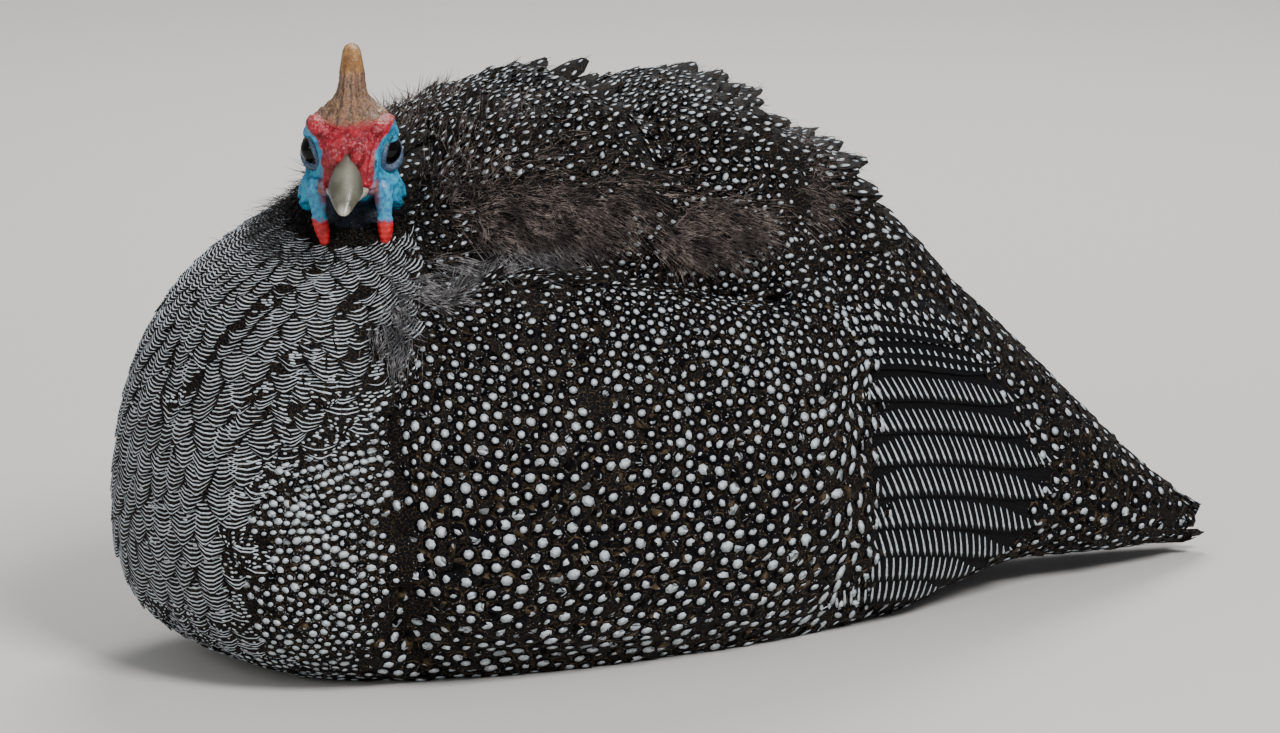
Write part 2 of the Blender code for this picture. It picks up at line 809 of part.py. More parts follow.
def make_wing(feathers):
    """The left wing: a core closed against the flank, with its feathers in tiers."""
    rings = []
    for y, top, low, _ in WING:
        outer = []
        inner = []
        for k in range(WING_ROWS):
            t = k / (WING_ROWS - 1)
            z = low + (top - low) * t
            x = body_half_width(y, z)
            outer.append(Vector((x + wing_thickness(y, z), y, z)))
            inner.append(Vector((x - WING_INSIDE, y, z)))
        rings.append(outer + inner[::-1])
    first = WING[0]
    z = (first[1] + first[2]) / 2
    start = Vector((body_half_width(WING_SHOULDER_Y, z) + WING_POINT_OUT, WING_SHOULDER_Y, z))
    z = (WING[-1][1] + WING[-1][2]) / 2
    end = Vector((body_half_width(WING_CORE_END, z) + WING_POINT_OUT, WING_CORE_END, z))
    wing = loft("wing_left", rings, feathers, start=start, end=end)
    vanes = []
    for k in range(FLIGHT_COUNT):
        f = k / (FLIGHT_COUNT - 1)
        root = (FLIGHT_ROOT_Y, FLIGHT_ROOT_TOP + (FLIGHT_ROOT_LOW - FLIGHT_ROOT_TOP) * f)
        tip = curve_through(WING_TIPS, f)
        vanes.append(wing_vane(root, tip, FLIGHT_WIDTH, FLIGHT_LIFT, feathers, LONG_VANE, FLIGHT_BOW))
    for count, root_y, root_top, root_low, tip_y, tip_top, tip_low, width, lift in WING_TIERS:
        for k in range(count):
            f = k / (count - 1)
            root = (root_y, root_top + (root_low - root_top) * f)
            tip = (tip_y, tip_top + (tip_low - tip_top) * f)
            vanes.append(wing_vane(root, tip, width, lift, feathers))
    for root_y, root_z, tip_y, tip_z in SCAPULARS:
        root = (root_y, root_z)
        tip = (tip_y, tip_z)
        vanes.append(wing_vane(root, tip, SCAPULAR_WIDTH, SCAPULAR_LIFT, feathers, LONG_VANE))
    join_to(wing, vanes)
    return wing


def head_section(y):
    half, top, low = curve_through(HEAD, y)
    middle = low + HEAD_WIDEST * (top - low)
    ring = []
    for k in range(HEAD_SIDES):
        a = 2 * math.pi * k / HEAD_SIDES
        rise = math.sin(a)
        x = half * rounded(math.cos(a), HEAD_ROUNDING)
        z = middle + (top - middle if rise >= 0 else middle - low) * rise
        ring.append(Vector((x, y, z)))
    return ring


def on_side(place, side):
    """A place on the bird's left, or the same one on its right where side is -1."""
    return Vector((side * place.x, place.y, place.z))


def lid_ring(side, skin):
    """The swollen rim of the lids, a ring round the eye that leans forwards with it."""
    points = []
    faces = []
    for k in range(LID_STEPS):
        a = 2 * math.pi * k / LID_STEPS
        for s in range(LID_SIDES):
            b = 2 * math.pi * s / LID_SIDES
            reach = LID_RADIUS + LID_THICKNESS * math.cos(b)
            out = LID_THICKNESS * math.sin(b)
            points.append(Vector((out, reach * math.cos(a), reach * math.sin(a))))
            here = k * LID_SIDES
            there = (k + 1) % LID_STEPS * LID_SIDES
            beside = (s + 1) % LID_SIDES
            faces.append((here + s, here + beside, there + beside, there + s))
    ring = new_object("lid", points, faces, skin)
    turn = Matrix.Rotation(-side * LID_TURN, 4, "Z")
    ring.data.transform(Matrix.Translation(on_side(EYE_AT + LID_OUT, side)) @ turn)
    face_outwards(ring)
    return ring


def make_head(skin):
    """The head in its own frame, facing -Y, with lids, sockets, cere and mouth line."""
    places = [HEAD[0][0]]
    for here, there in zip(HEAD, HEAD[1:]):
        places += [(here[0] + there[0]) / 2, there[0]]
    rings = [head_section(y) for y in places]
    head = loft("head", rings, skin, start=Vector((0, NAPE, -0.003)))
    extras = []
    for side in (-1, 1):
        extras.append(lid_ring(side, skin))
        extras.append(ball("cere", on_side(CERE_AT, side), CERE_RADII, skin, 10, 6))
        extras.append(ball("cheek", on_side(CHEEK_AT, side), CHEEK_RADII, skin, 12, 8))
    join_to(head, extras)
    for side in (-1, 1):
        cut_away(head, ball("ear", on_side(EAR_AT, side), EAR_RADII, skin, 10, 6))
        cut_away(head, mouth_corner(side, skin))
    return head


def mouth_corner(side, blank):
    """A thin wedge that carries the mouth line from the bill back under the eye."""
    rings = []
    for y in (MOUTH_CORNER_Y, MOUTH_FRONT_Y):
        deep = curve_through(HEAD, y)[0] - MOUTH_DEPTH
        ring = []
        for x, z in ((deep, -GAP), (MOUTH_OUTSIDE, -2 * GAP), (MOUTH_OUTSIDE, 2 * GAP), (deep, GAP)):
            ring.append(Vector((side * x, y, GAPE + z)))
        rings.append(ring)
    return loft("mouth_corner", rings, blank)


def make_eyes(head, clear):
    eyes = []
    for side, name in ((1, "eye_left"), (-1, "eye_right")):
        eye = ball(name, on_side(EYE_AT, side), (EYE_RADIUS,) * 3, clear, 16, 10)
        cut_away(head, grown_copy(eye, FINE_ROOM))
        eyes.append(eye)
    return eyes


def gape_level(y):
    """The mouth line droops towards the bill's tip."""
    t = (BILL_BASE - y) / (BILL_BASE - BILL_TIP.y)
    return GAPE - GAPE_DROOP * max(t, 0.0) ** GAPE_CURVE


def bill_arch(y, half, level, height):
    """Half a rounded section of the bill, standing up or hanging down from the mouth line."""
    ring = []
    for k in range(BILL_SIDES):
        a = math.pi * k / (BILL_SIDES - 1)
        x = half * rounded(math.cos(a), BILL_ROUNDING)
        ring.append(Vector((x, y, level + height * math.sin(a))))
    return ring


def make_bill(horn):
    """Upper and lower bill, parted along the mouth line."""
    upper = []
    lower = []
    for y, half, top in BILL:
        level = gape_level(y)
        upper.append(bill_arch(y, half, level, top - level))
    for y, half, _ in BILL[:-1]:
        level = gape_level(y) - GAP
        fullness = LOWER_TIP_DEPTH + (1 - LOWER_TIP_DEPTH) * half / BILL[0][1]
        lower.append(bill_arch(y, half - LOWER_INSET, level, (CHIN - level) * fullness))
    top_part = loft("bill_upper", upper, horn, end=BILL_TIP)
    low_part = loft("bill_lower", lower, horn, end=LOWER_TIP)
    for side in (-1, 1):
        cut_away(top_part, ball("nostril", on_side(NOSTRIL_AT, side), NOSTRIL_RADII, horn, 8, 6))
    return top_part, low_part


def make_casque(horn):
    """The bony helmet: narrow across, long fore and aft, with upright ridges."""
    rings = []
    sides = 4 * CASQUE_RIDGES
    for z, across, along in CASQUE:
        ring = []
        for k in range(sides):
            a = 2 * math.pi * k / sides
            ridge = 1 + CASQUE_RIDGE_DEPTH * math.cos(2 * CASQUE_RIDGES * a)
            y = CASQUE_MIDDLE + CASQUE_LEAN * z + along * ridge * math.sin(a)
            ring.append(Vector((across * ridge * math.cos(a), y, z)))
        rings.append(ring)
    tip = Vector((0, CASQUE_MIDDLE + CASQUE_LEAN * CASQUE_TOP, CASQUE_TOP))
    return loft("casque", rings, horn, end=tip)


def make_wattle(name, side, skin):
    """A hanging wattle with ringed folds, thicker at its red tip."""
    rings = []
    for k in range(2 * WATTLE_RINGS + 1):
        t = k / (2 * WATTLE_RINGS)
        radius = WATTLE_RADIUS * curve_through(WATTLE_SWELL, t)[0] * WATTLE_FOLD[k % 2]
        centre = WATTLE_AT + (WATTLE_DRIFT - Vector((0, 0, WATTLE_LENGTH))) * t
        ring = []
        for s in range(WATTLE_SIDES):
            a = 2 * math.pi * s / WATTLE_SIDES
            across = WATTLE_FLATNESS * radius * math.cos(a)
            ring.append(on_side(centre + Vector((across, radius * math.sin(a), 0)), side))
        rings.append(ring)
    return loft(name, rings, skin)


def toe_points(turn, length):
    """A toe from the foot joint, laid along the floor and ending in a claw."""
    a = math.radians(turn)
    ahead = Vector((math.sin(a), -math.cos(a), 0))
    return [FOOT_JOINT + ahead * length * t for t in TOE_PLACES]


def make_leg(scales):
    """The left leg from its shank down: heel, tarsus laid back along the floor, four toes."""
    tarsus = tube(
        "leg_left",
        [HEEL + HEEL_BACK, HEEL, FOOT_JOINT, FOOT_JOINT + FOOT_FRONT],
        [HEEL_BACK_RADIUS, HEEL_RADIUS, TARSUS_RADIUS, FOOT_RADIUS],
        scales,
        floor=0.0,
    )
    pieces = [tube("shank", [HEEL, HEEL.lerp(SHANK_TOP, 0.5), SHANK_TOP], SHANK_RADII, scales)]
    for turn, length in TOES + (HIND_TOE,):
        radii = [TOE_RADIUS * share for share in TOE_TAPER]
        pieces.append(tube("toe", toe_points(turn, length), radii, scales, floor=0.0))
    join_to(tarsus, pieces)
    return tarsus


def slot(start, end, width, height):
    """A box-shaped channel between two points of the floor, for the recess of a toe."""
    along = (end - start).normalized()
    across = Vector((-along.y, along.x, 0)) * width / 2
    ring_low = []
    ring_high = []
    for point, side in ((start, 1), (end, 1), (end, -1), (start, -1)):
        spot = Vector((point.x, point.y, 0)) + across * side
        ring_low.append(spot + Vector((0, 0, BELOW_FLOOR)))
        ring_high.append(spot + Vector((0, 0, height)))
    return ring_low, ring_high


def make_recess(blank):
    """The hollow in the belly that holds a leg, open below."""
    back = HEEL + Vector((0, HEEL_BACK.y + RECESS_ROOM, 0))
    front = FOOT_JOINT + FOOT_FRONT * 1.5
    low, high = slot(back, front, 2 * (HEEL_RADIUS + RECESS_ROOM), TARSUS_RECESS)
    recess = loft("recess", [low, high], blank)
    pieces = []
    for turn, length in TOES + (HIND_TOE,):
        end = toe_points(turn, length + RECESS_ROOM)[-1]
        low, high = slot(FOOT_JOINT, end, 2 * (TOE_RADIUS + RECESS_ROOM), TOE_RECESS)
        pieces.append(loft("channel", [low, high], blank))
    top = SHANK_TOP + (SHANK_TOP - HEEL).normalized() * GAP
    wide = [radius + RECESS_ROOM for radius in SHANK_RADII]
    pieces.append(tube("channel", [HEEL, HEEL.lerp(top, 0.5), top], wide, blank))
    join_to(recess, pieces)
    return recess


def main():
    remove_everything()
    random.seed(SEED)
    feathers = plain_material("spotted_feathers", (0.035, 0.037, 0.045), 0.7)
    flight = plain_material("barred_feathers", (0.020, 0.021, 0.026), 0.6)
    blue_skin = plain_material("blue_skin", (0.03, 0.30, 0.42), 0.5)
    dark_skin = plain_material("neck_skin", (0.02, 0.03, 0.07), 0.6)
    red_skin = plain_material("red_skin", (0.62, 0.02, 0.03), 0.5)
    horn = plain_material("bill_horn", (0.32, 0.30, 0.24), 0.4)
    casque_horn = plain_material("casque_horn", (0.42, 0.24, 0.09), 0.5)
    eye_dark = plain_material("eye", (0.03, 0.015, 0.01), 0.1)
    scales = plain_material("leg_scales", (0.06, 0.06, 0.065), 0.6)

    torso = make_body(feathers)
    tail = make_tail(flight)
    neck, neck_line = make_neck(dark_skin)
    root = copy_of(neck, "neck_root")
    sliced(root, NECK_BASE.lerp(NECK_TOP, NECK_CUT), neck_line)
    join_to(torso, [root])
    cut_away(neck, grown_copy(torso, FACET_ROOM))
    join_to(torso, make_back_feathers(feathers))

    wing = make_wing(flight)
    for side in (wing, mirrored(wing, "wing_right")):
        cut_away(side, grown_copy(torso, FACET_ROOM))
        cut_away(side, grown_copy(tail, FACET_ROOM))

    head = make_head(blue_skin)
    eyes = make_eyes(head, eye_dark)
    upper, lower = make_bill(horn)
    casque = make_casque(casque_horn)
    wattles = [make_wattle("wattle_left", 1, red_skin), make_wattle("wattle_right", -1, red_skin)]
    room = grown_copy(head, FINE_ROOM)
    for piece in (upper, lower, casque, *wattles):
        cut_away(piece, room, keep_cutter=True)
    bpy.data.objects.remove(room, do_unlink=True)
    for piece in (head, upper, lower, casque, *eyes, *wattles):
        place_on_head(piece)
    for behind in (neck, torso):
        cut_away(behind, grown_copy(head, FACET_ROOM), crosses_itself=True)
    for wattle in wattles:
        cut_away(wattle, grown_copy(torso, FACET_ROOM))

    leg = make_leg(scales)
    recess = make_recess(scales)
    cut_away(torso, mirrored(recess, "recess_right"))
    cut_away(torso, recess)
    mirrored(leg, "leg_right")

    for thing in bpy.data.objects:
        smooth(thing)


main()
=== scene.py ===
# %% [markdown]
# # A helmeted guinea fowl at rest
#
# This lesson dresses a plain solid model of a guinea fowl. The solid gives the size and the
# place of everything. Here it gets its bare skin, its bony helmet, its eyes and its plumage.
# A guinea fowl's coat looks like black cloth with white dots. On the real bird each dot lies on
# the vane of a feather, so the feathers are laid first and the dots are laid on them.

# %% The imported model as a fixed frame
import math

import bpy
import numpy as np
from mathutils import Matrix, Vector, noise
from mathutils.bvhtree import BVHTree
from mathutils.kdtree import KDTree


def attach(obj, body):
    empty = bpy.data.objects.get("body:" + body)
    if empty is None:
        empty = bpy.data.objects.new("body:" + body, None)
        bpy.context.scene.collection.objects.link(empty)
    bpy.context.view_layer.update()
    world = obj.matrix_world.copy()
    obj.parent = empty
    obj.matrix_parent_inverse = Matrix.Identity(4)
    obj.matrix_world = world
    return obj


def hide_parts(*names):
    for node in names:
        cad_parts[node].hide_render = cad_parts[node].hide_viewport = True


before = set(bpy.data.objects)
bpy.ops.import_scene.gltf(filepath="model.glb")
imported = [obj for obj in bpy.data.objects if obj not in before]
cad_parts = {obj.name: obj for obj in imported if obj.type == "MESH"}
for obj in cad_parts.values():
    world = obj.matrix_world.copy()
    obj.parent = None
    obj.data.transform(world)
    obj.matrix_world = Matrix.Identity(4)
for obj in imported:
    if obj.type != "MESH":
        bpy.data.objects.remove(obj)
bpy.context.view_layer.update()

dice = np.random.default_rng(7)

# %% [markdown]
# ## A small language for finishes
#
# A material is a tree of nodes. Wiring nodes one by one hides what the pattern is, so a socket is
# wrapped in a small class that Python's own operators work on: `1 - mask` adds a Math node.
# Any other node comes from one method, `add`.


# %% Sockets that can be added, scaled and subtracted
class Wire:
    """An output socket of a finish, which ordinary arithmetic works on."""

    def __init__(self, finish, socket):
        self.finish = finish
        self.socket = socket

    def math(self, operation, first, second):
        inputs = {0: first, 1: second}
        return self.finish.add("ShaderNodeMath", {"operation": operation}, inputs)

    def __add__(self, other):
        return self.math("ADD", self, other)

    def __sub__(self, other):
        return self.math("SUBTRACT", self, other)

    def __rsub__(self, other):
        return self.math("SUBTRACT", other, self)

    def __mul__(self, other):
        return self.math("MULTIPLY", self, other)

    __radd__ = __add__
    __rmul__ = __mul__

    def above(self, low, high):
        """0 below the first value, 1 above the second, and smooth between them."""
        inputs = {"Value": self, "From Min": low, "From Max": high}
        settings = {"interpolation_type": "SMOOTHSTEP"}
        return self.finish.add("ShaderNodeMapRange", settings, inputs)


class Finish:
    """A material, with one method that adds any node to it."""

    def __init__(self, name, constants):
        self.material = bpy.data.materials.new(name)
        self.material.use_nodes = True
        self.tree = self.material.node_tree
        self.shader = self.tree.nodes["Principled BSDF"]
        for socket, value in constants.items():
            self.feed(self.shader.inputs[socket], value)

    def add(self, kind, settings=None, inputs=None, out=0):
        node = self.tree.nodes.new(kind)
        for name, value in (settings or {}).items():
            setattr(node, name, value)
        for name, value in (inputs or {}).items():
            self.feed(node.inputs[name], value)
        return Wire(self, node.outputs[out])

    def feed(self, socket, value):
        if isinstance(value, Wire):
            self.tree.links.new(value.socket, socket)
        elif isinstance(value, tuple) and len(value) == 3 and socket.type == "RGBA":
            socket.default_value = (*value, 1.0)
        else:
            socket.default_value = value

    def blend(self, share, below, above):
        """One colour over another."""
        settings = {"data_type": "RGBA"}
        return self.add("ShaderNodeMix", settings, {0: share, 6: below, 7: above}, out=2)

    def place(self):
        return self.add("ShaderNodeTexCoord", out="Object")

    def measure(self, name):
        """A number that each point of the piece carries."""
        return self.add("ShaderNodeAttribute", {"attribute_name": name}, out="Fac")

    def noise(self, where, scale, detail=3.0, roughness=0.5):
        inputs = {"Vector": where, "Scale": scale, "Detail": detail, "Roughness": roughness}
        return self.add("ShaderNodeTexNoise", {}, inputs)

    def stretched(self, where, scale):
        return self.add("ShaderNodeMapping", {}, {"Vector": where, "Scale": scale})

    def paint(self, colour, roughness=None, height=None, depth=0.0002):
        """Colour the piece, and give it a varying roughness and relief where it has them."""
        self.feed(self.shader.inputs["Base Color"], colour)
        if roughness is not None:
            self.feed(self.shader.inputs["Roughness"], roughness)
        if height is not None:
            inputs = {"Height": height, "Distance": depth, "Strength": 1.0}
            self.feed(self.shader.inputs["Normal"], self.add("ShaderNodeBump", {}, inputs))
        return self.material


def two_toned(name, gloss, scale, detail, window, shade, light, grain=None, depth=0.0002):
    """A finish that wanders between two tones. The gloss is its roughness and its sheen."""
    finish = Finish(name, dict(zip(("Roughness", "Specular IOR Level"), gloss)))
    share = finish.noise(finish.place(), scale, detail)
    if window:
        share = share.above(*window)
    height = finish.noise(finish.place(), grain, 1.0) if grain else None
    return finish.paint(finish.blend(share, shade, light), height=height, depth=depth)


# %% [markdown]
# ## Meshes from arrays
#
# A coat has thousands of small parts. Adding them as separate objects would take minutes, so the
# corners of all the feathers of one region are worked out together, as one array, and become one
# mesh. Every feather carries two maps: one that runs along its own vane, for the barbs, and one
# named OFBake, where the whole feather is a small patch at its root's place on the unrolled body.

# %% Turn arrays of corners and triangles into a piece
BAKE_PATCH = 0.003
UNROLL_HEIGHT = 0.075
UNROLL_START = -0.17
UNROLL_LENGTH = 0.48


def deselect_all():
    for thing in bpy.context.selected_objects:
        thing.select_set(False)


def unrolled(places):
    """The place of each point on the body's unrolled skin: round the body and along it."""
    around = np.arctan2(places[:, 2] - UNROLL_HEIGHT, places[:, 0]) / (2 * math.pi) + 0.5
    along = (places[:, 1] - UNROLL_START) / UNROLL_LENGTH
    return np.clip(np.stack([around, along], axis=1), 0.01, 0.99)


def lay_map(mesh, name, places):
    """Give each point of a mesh its place on a map."""
    corners = np.zeros(len(mesh.loops), dtype=np.int64)
    mesh.loops.foreach_get("vertex_index", corners)
    layer = mesh.uv_layers.new(name=name)
    layer.uv.foreach_set("vector", places[corners].astype(np.float32).ravel())


def piece_from(name, points, faces, material, maps=None, sharp_from=None):
    mesh = bpy.data.meshes.new(name)
    mesh.from_pydata(points.tolist(), [], faces.tolist())
    for map_name, places in (maps or {}).items():
        lay_map(mesh, map_name, places)
    mesh.materials.append(material)
    mesh.shade_smooth()
    if sharp_from is not None:
        mesh.set_sharp_from_angle(angle=math.radians(sharp_from))
    thing = bpy.data.objects.new(name, mesh)
    bpy.context.scene.collection.objects.link(thing)
    return thing


def triangles_in(thing):
    return sum(len(face.vertices) - 2 for face in thing.data.polygons)


def belongs(thing, slot_name, *nodes):
    """The piece is part of the bird and stands for these solids. The slot's name is not used."""
    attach(thing, "root")
    if nodes:
        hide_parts(*nodes)
    print(f"{thing.name}: {triangles_in(thing):,} triangles")
    return thing


# %% [markdown]
# ## The form under the plumage
#
# Feathers need something to lie on. The body is an egg drawn out into a tail, the folded wings are
# low swellings on its sides, and the neck is a cone that rises from the shoulders. The form is a
# grid, wrapped round the body's stations, then fused with the cone and smoothed.

# %% Stations of the body, the wing and the neck, in metres
BODY = [
    (-0.1597, 0.006, 0.062, 0.052),
    (-0.157, 0.027, 0.087, 0.034),
    (-0.150, 0.046, 0.111, 0.020),
    (-0.138, 0.062, 0.132, 0.010),
    (-0.118, 0.0755, 0.150, 0.002),
    (-0.090, 0.083, 0.163, -0.005),
    (-0.045, 0.086, 0.174, -0.014),
    (0.000, 0.086, 0.181, -0.018),
    (0.045, 0.083, 0.176, -0.018),
    (0.085, 0.075, 0.163, -0.014),
    (0.120, 0.064, 0.147, -0.008),
    (0.150, 0.053, 0.127, 0.001),
    (0.185, 0.042, 0.098, 0.008),
    (0.225, 0.032, 0.061, 0.007),
    (0.262, 0.018, 0.030, 0.006),
    (0.288, 0.007, 0.015, 0.006),
]
WIDEST = 0.344
BACK_ROUNDING = 0.85
BELLY_ROUNDING = 0.65
WING = [
    (-0.104, 0.112, 0.056, 0.006),
    (-0.098, 0.132, 0.034, 0.009),
    (-0.080, 0.147, 0.018, 0.011),
    (-0.050, 0.150, 0.012, 0.012),
    (-0.010, 0.146, 0.010, 0.011),
    (0.030, 0.136, 0.010, 0.009),
    (0.065, 0.124, 0.012, 0.006),
    (0.092, 0.108, 0.022, 0.0035),
]
WING_EDGE_SHARE = 0.25
WING_FADE = 0.012
NECK_BASE = np.array((-0.012, -0.084, 0.112))
NECK_TOP = np.array((0.015, -0.083, 0.178))
NECK_BASE_RADIUS = 0.054
NECK_TOP_RADIUS = 0.0145


def through(table, places):
    """Read a table of stations at many places, on smooth curves through its rows."""
    rows = np.array(table)
    places = np.clip(np.asarray(places, dtype=float), rows[0, 0], rows[-1, 0])
    at = np.clip(np.searchsorted(rows[:, 0], places, "right") - 1, 0, len(rows) - 2)
    before, here, there, after = (rows[np.clip(at + k, 0, len(rows) - 1)] for k in (-1, 0, 1, 2))
    span = (there[:, 0] - here[:, 0])[:, None]
    t = (places - here[:, 0])[:, None] / span
    slope_in = (there[:, 1:] - before[:, 1:]) / (there[:, :1] - before[:, :1]) * span
    slope_out = (after[:, 1:] - here[:, 1:]) / (after[:, :1] - here[:, :1]) * span
    return (
        (2 * t**3 - 3 * t**2 + 1) * here[:, 1:]
        + (t**3 - 2 * t**2 + t) * slope_in
        + (3 * t**2 - 2 * t**3) * there[:, 1:]
        + (t**3 - t**2) * slope_out
    )


def section(y):
    """Half the body's width, its top, its bottom, and the height where it is widest."""
    half, top, low = through(BODY, y).T
    floor = np.maximum(low, 0.0)
    return half, top, low, floor + WIDEST * (top - floor)


def body_at(y, a):
    """Points of the plumage's surface, at angles round the body from its left side."""
    half, top, low, middle = section(y)
    rise = np.sin(a)
    power = np.where(rise >= 0, BACK_ROUNDING, BELLY_ROUNDING)
    across = np.sign(np.cos(a)) * np.abs(np.cos(a)) ** power
    height = np.where(rise >= 0, top - middle, middle - low)
    return np.stack([half * across, y, np.maximum(middle + height * rise, 0.0)], axis=1)


def half_width(y, z):
    """How far the body's side stands from its middle plane at a height."""
    half, top, low, middle = section(y)
    up = np.clip((z - middle) / (top - middle), 0.0, 1.0)
    down = np.clip((middle - z) / (middle - low), 0.0, 1.0)
    upper = np.sqrt(1 - up**2) ** BACK_ROUNDING
    lower = np.sqrt(1 - down**2) ** BELLY_ROUNDING
    return half * np.where(z >= middle, upper, lower)


def wing_swelling(y, z):
    """How far the folded wing stands off the flank."""
    top, low, thick = through(WING, y).T
    t = (z - low) / (top - low)
    bulge = np.sin(math.pi * np.clip(t, 0.0, 1.0)) ** 0.6
    front, end = WING[0][0] - 0.002, WING[-1][0] + WING_FADE
    inside = (t > 0) & (t < 1) & (y > front) & (y < end)
    rear = np.clip((end - y) / WING_FADE, 0.0, 1.0)
    return np.where(inside, thick * rear * (WING_EDGE_SHARE + (1 - WING_EDGE_SHARE) * bulge), 0.0)


def wrapped_grid(name, rings, start=None, end=None):
    """A grid primitive wrapped into a closed tube over rings of points.

    Its poles are the middles of the first and last rings where no others are given.
    """
    rings = np.asarray(rings)
    start = rings[0].mean(axis=0) if start is None else start
    end = rings[-1].mean(axis=0) if end is None else end
    count, around = rings.shape[:2]
    deselect_all()
    bpy.ops.mesh.primitive_grid_add(x_subdivisions=around, y_subdivisions=count + 1, size=1)
    thing = bpy.context.object
    thing.name = name
    closed = np.concatenate([rings, rings[:, :1]], axis=1)
    first = np.broadcast_to(np.asarray(start), (1, around + 1, 3))
    last = np.broadcast_to(np.asarray(end), (1, around + 1, 3))
    points = np.concatenate([first, closed, last]).reshape(-1, 3)
    thing.data.vertices.foreach_set("co", points.astype(np.float32).ravel())
    bpy.ops.object.mode_set(mode="EDIT")
    bpy.ops.mesh.select_all(action="SELECT")
    bpy.ops.mesh.remove_doubles(threshold=0.000001)
    bpy.ops.mesh.normals_make_consistent(inside=False)
    bpy.ops.object.mode_set(mode="OBJECT")
    thing.data.shade_smooth()
    return thing


def circle(count):
    """Angles evenly round a full turn."""
    return np.linspace(0, 2 * math.pi, count, endpoint=False)


def joined(parts):
    """Several pieces as one, under the first one's name."""
    deselect_all()
    for part in parts:
        part.select_set(True)
    bpy.context.view_layer.objects.active = parts[0]
    bpy.ops.object.join()
    return parts[0]


def finished(thing, *modifiers):
    """Add modifiers with their settings, one after the other, and apply each."""
    deselect_all()
    thing.select_set(True)
    bpy.context.view_layer.objects.active = thing
    for kind, settings in modifiers:
        modifier = thing.modifiers.new(kind.lower(), kind)
        for name, value in settings.items():
            setattr(modifier, name, value)
        bpy.ops.object.modifier_apply(modifier=modifier.name)
    return thing


# %% Wrap the body and the neck, and fuse them
FORM_VOXEL = 0.0026
RING_SPACING = 0.003
RING_POINTS = 104
NECK_RINGS = 24


def make_form(name, tail_end):
    places = np.arange(BODY[0][0] + 0.0008, tail_end, RING_SPACING)
    angles = circle(RING_POINTS)
    rings = []
    for y in places:
        ring = body_at(np.full(RING_POINTS, y), angles)
        ring[:, 0] += np.sign(ring[:, 0]) * wing_swelling(ring[:, 1], ring[:, 2])
        rings.append(ring)
    start = rings[0].mean(axis=0) + (0, -0.0006, 0)
    end = rings[-1].mean(axis=0) + (0, 0.002, 0)
    body = wrapped_grid(name, rings, start, end)

    along = Vector(NECK_TOP - NECK_BASE).normalized()
    side = along.cross(Vector((0, 1, 0))).normalized()
    front = np.array(side.cross(along))
    out = np.cos(angles)[:, None] * np.array(side) + np.sin(angles)[:, None] * front
    rings = []
    for t in np.linspace(0, 1, NECK_RINGS):
        radius = NECK_TOP_RADIUS + (NECK_BASE_RADIUS - NECK_TOP_RADIUS) * (1 - t) ** 1.5
        rings.append(NECK_BASE + (NECK_TOP - NECK_BASE) * t + radius * out)
    neck = wrapped_grid("neck_cone", rings, NECK_BASE, NECK_TOP)
    return finished(
        joined([body, neck]),
        ("REMESH", {"mode": "VOXEL", "voxel_size": FORM_VOXEL}),
        ("SMOOTH", {"factor": 0.5, "iterations": 8}),
        ("TRIANGULATE", {}),
    )


form = make_form("form", 0.284)
print(f"the form has {len(form.data.polygons):,} triangles")


def unit(vectors):
    return vectors / (np.linalg.norm(vectors, axis=-1, keepdims=True) + 1e-12)


def apart(these, those):
    """How far the points of one array are from those of another."""
    return np.linalg.norm(these - those, axis=1)


def ramp(values, low, high):
    t = np.clip((values - low) / (high - low), 0.0, 1.0)
    return t * t * (3 - 2 * t)


def turned(flow, side, angles):
    """Two ways along the surface, turned from the first towards the second."""
    cos, sin = np.cos(angles)[:, None], np.sin(angles)[:, None]
    return flow * cos + side * sin, side * cos - flow * sin


def points_of(thing, what="co"):
    points = np.empty(len(thing.data.vertices) * 3)
    thing.data.vertices.foreach_get(what, points)
    return points.reshape(-1, 3)


def normals_of(thing):
    return points_of(thing, "normal")


def arrays_of(thing):
    faces = np.empty(len(thing.data.polygons) * 3, dtype=np.int64)
    thing.data.polygons.foreach_get("vertices", faces)
    return points_of(thing), faces.reshape(-1, 3)


def move_points(thing, points):
    thing.data.vertices.foreach_set("co", points.astype(np.float32).ravel())
    thing.data.update()


# %% [markdown]
# ## Ruffled back, folded breast
#
# The bird has ruffled its back into lobes, which rise towards the tail and end in a step. The
# turned head pulls the skin of the breast into folds, and a deep groove parts breast and wing.
# They are pushed into the form before anything lies on it.

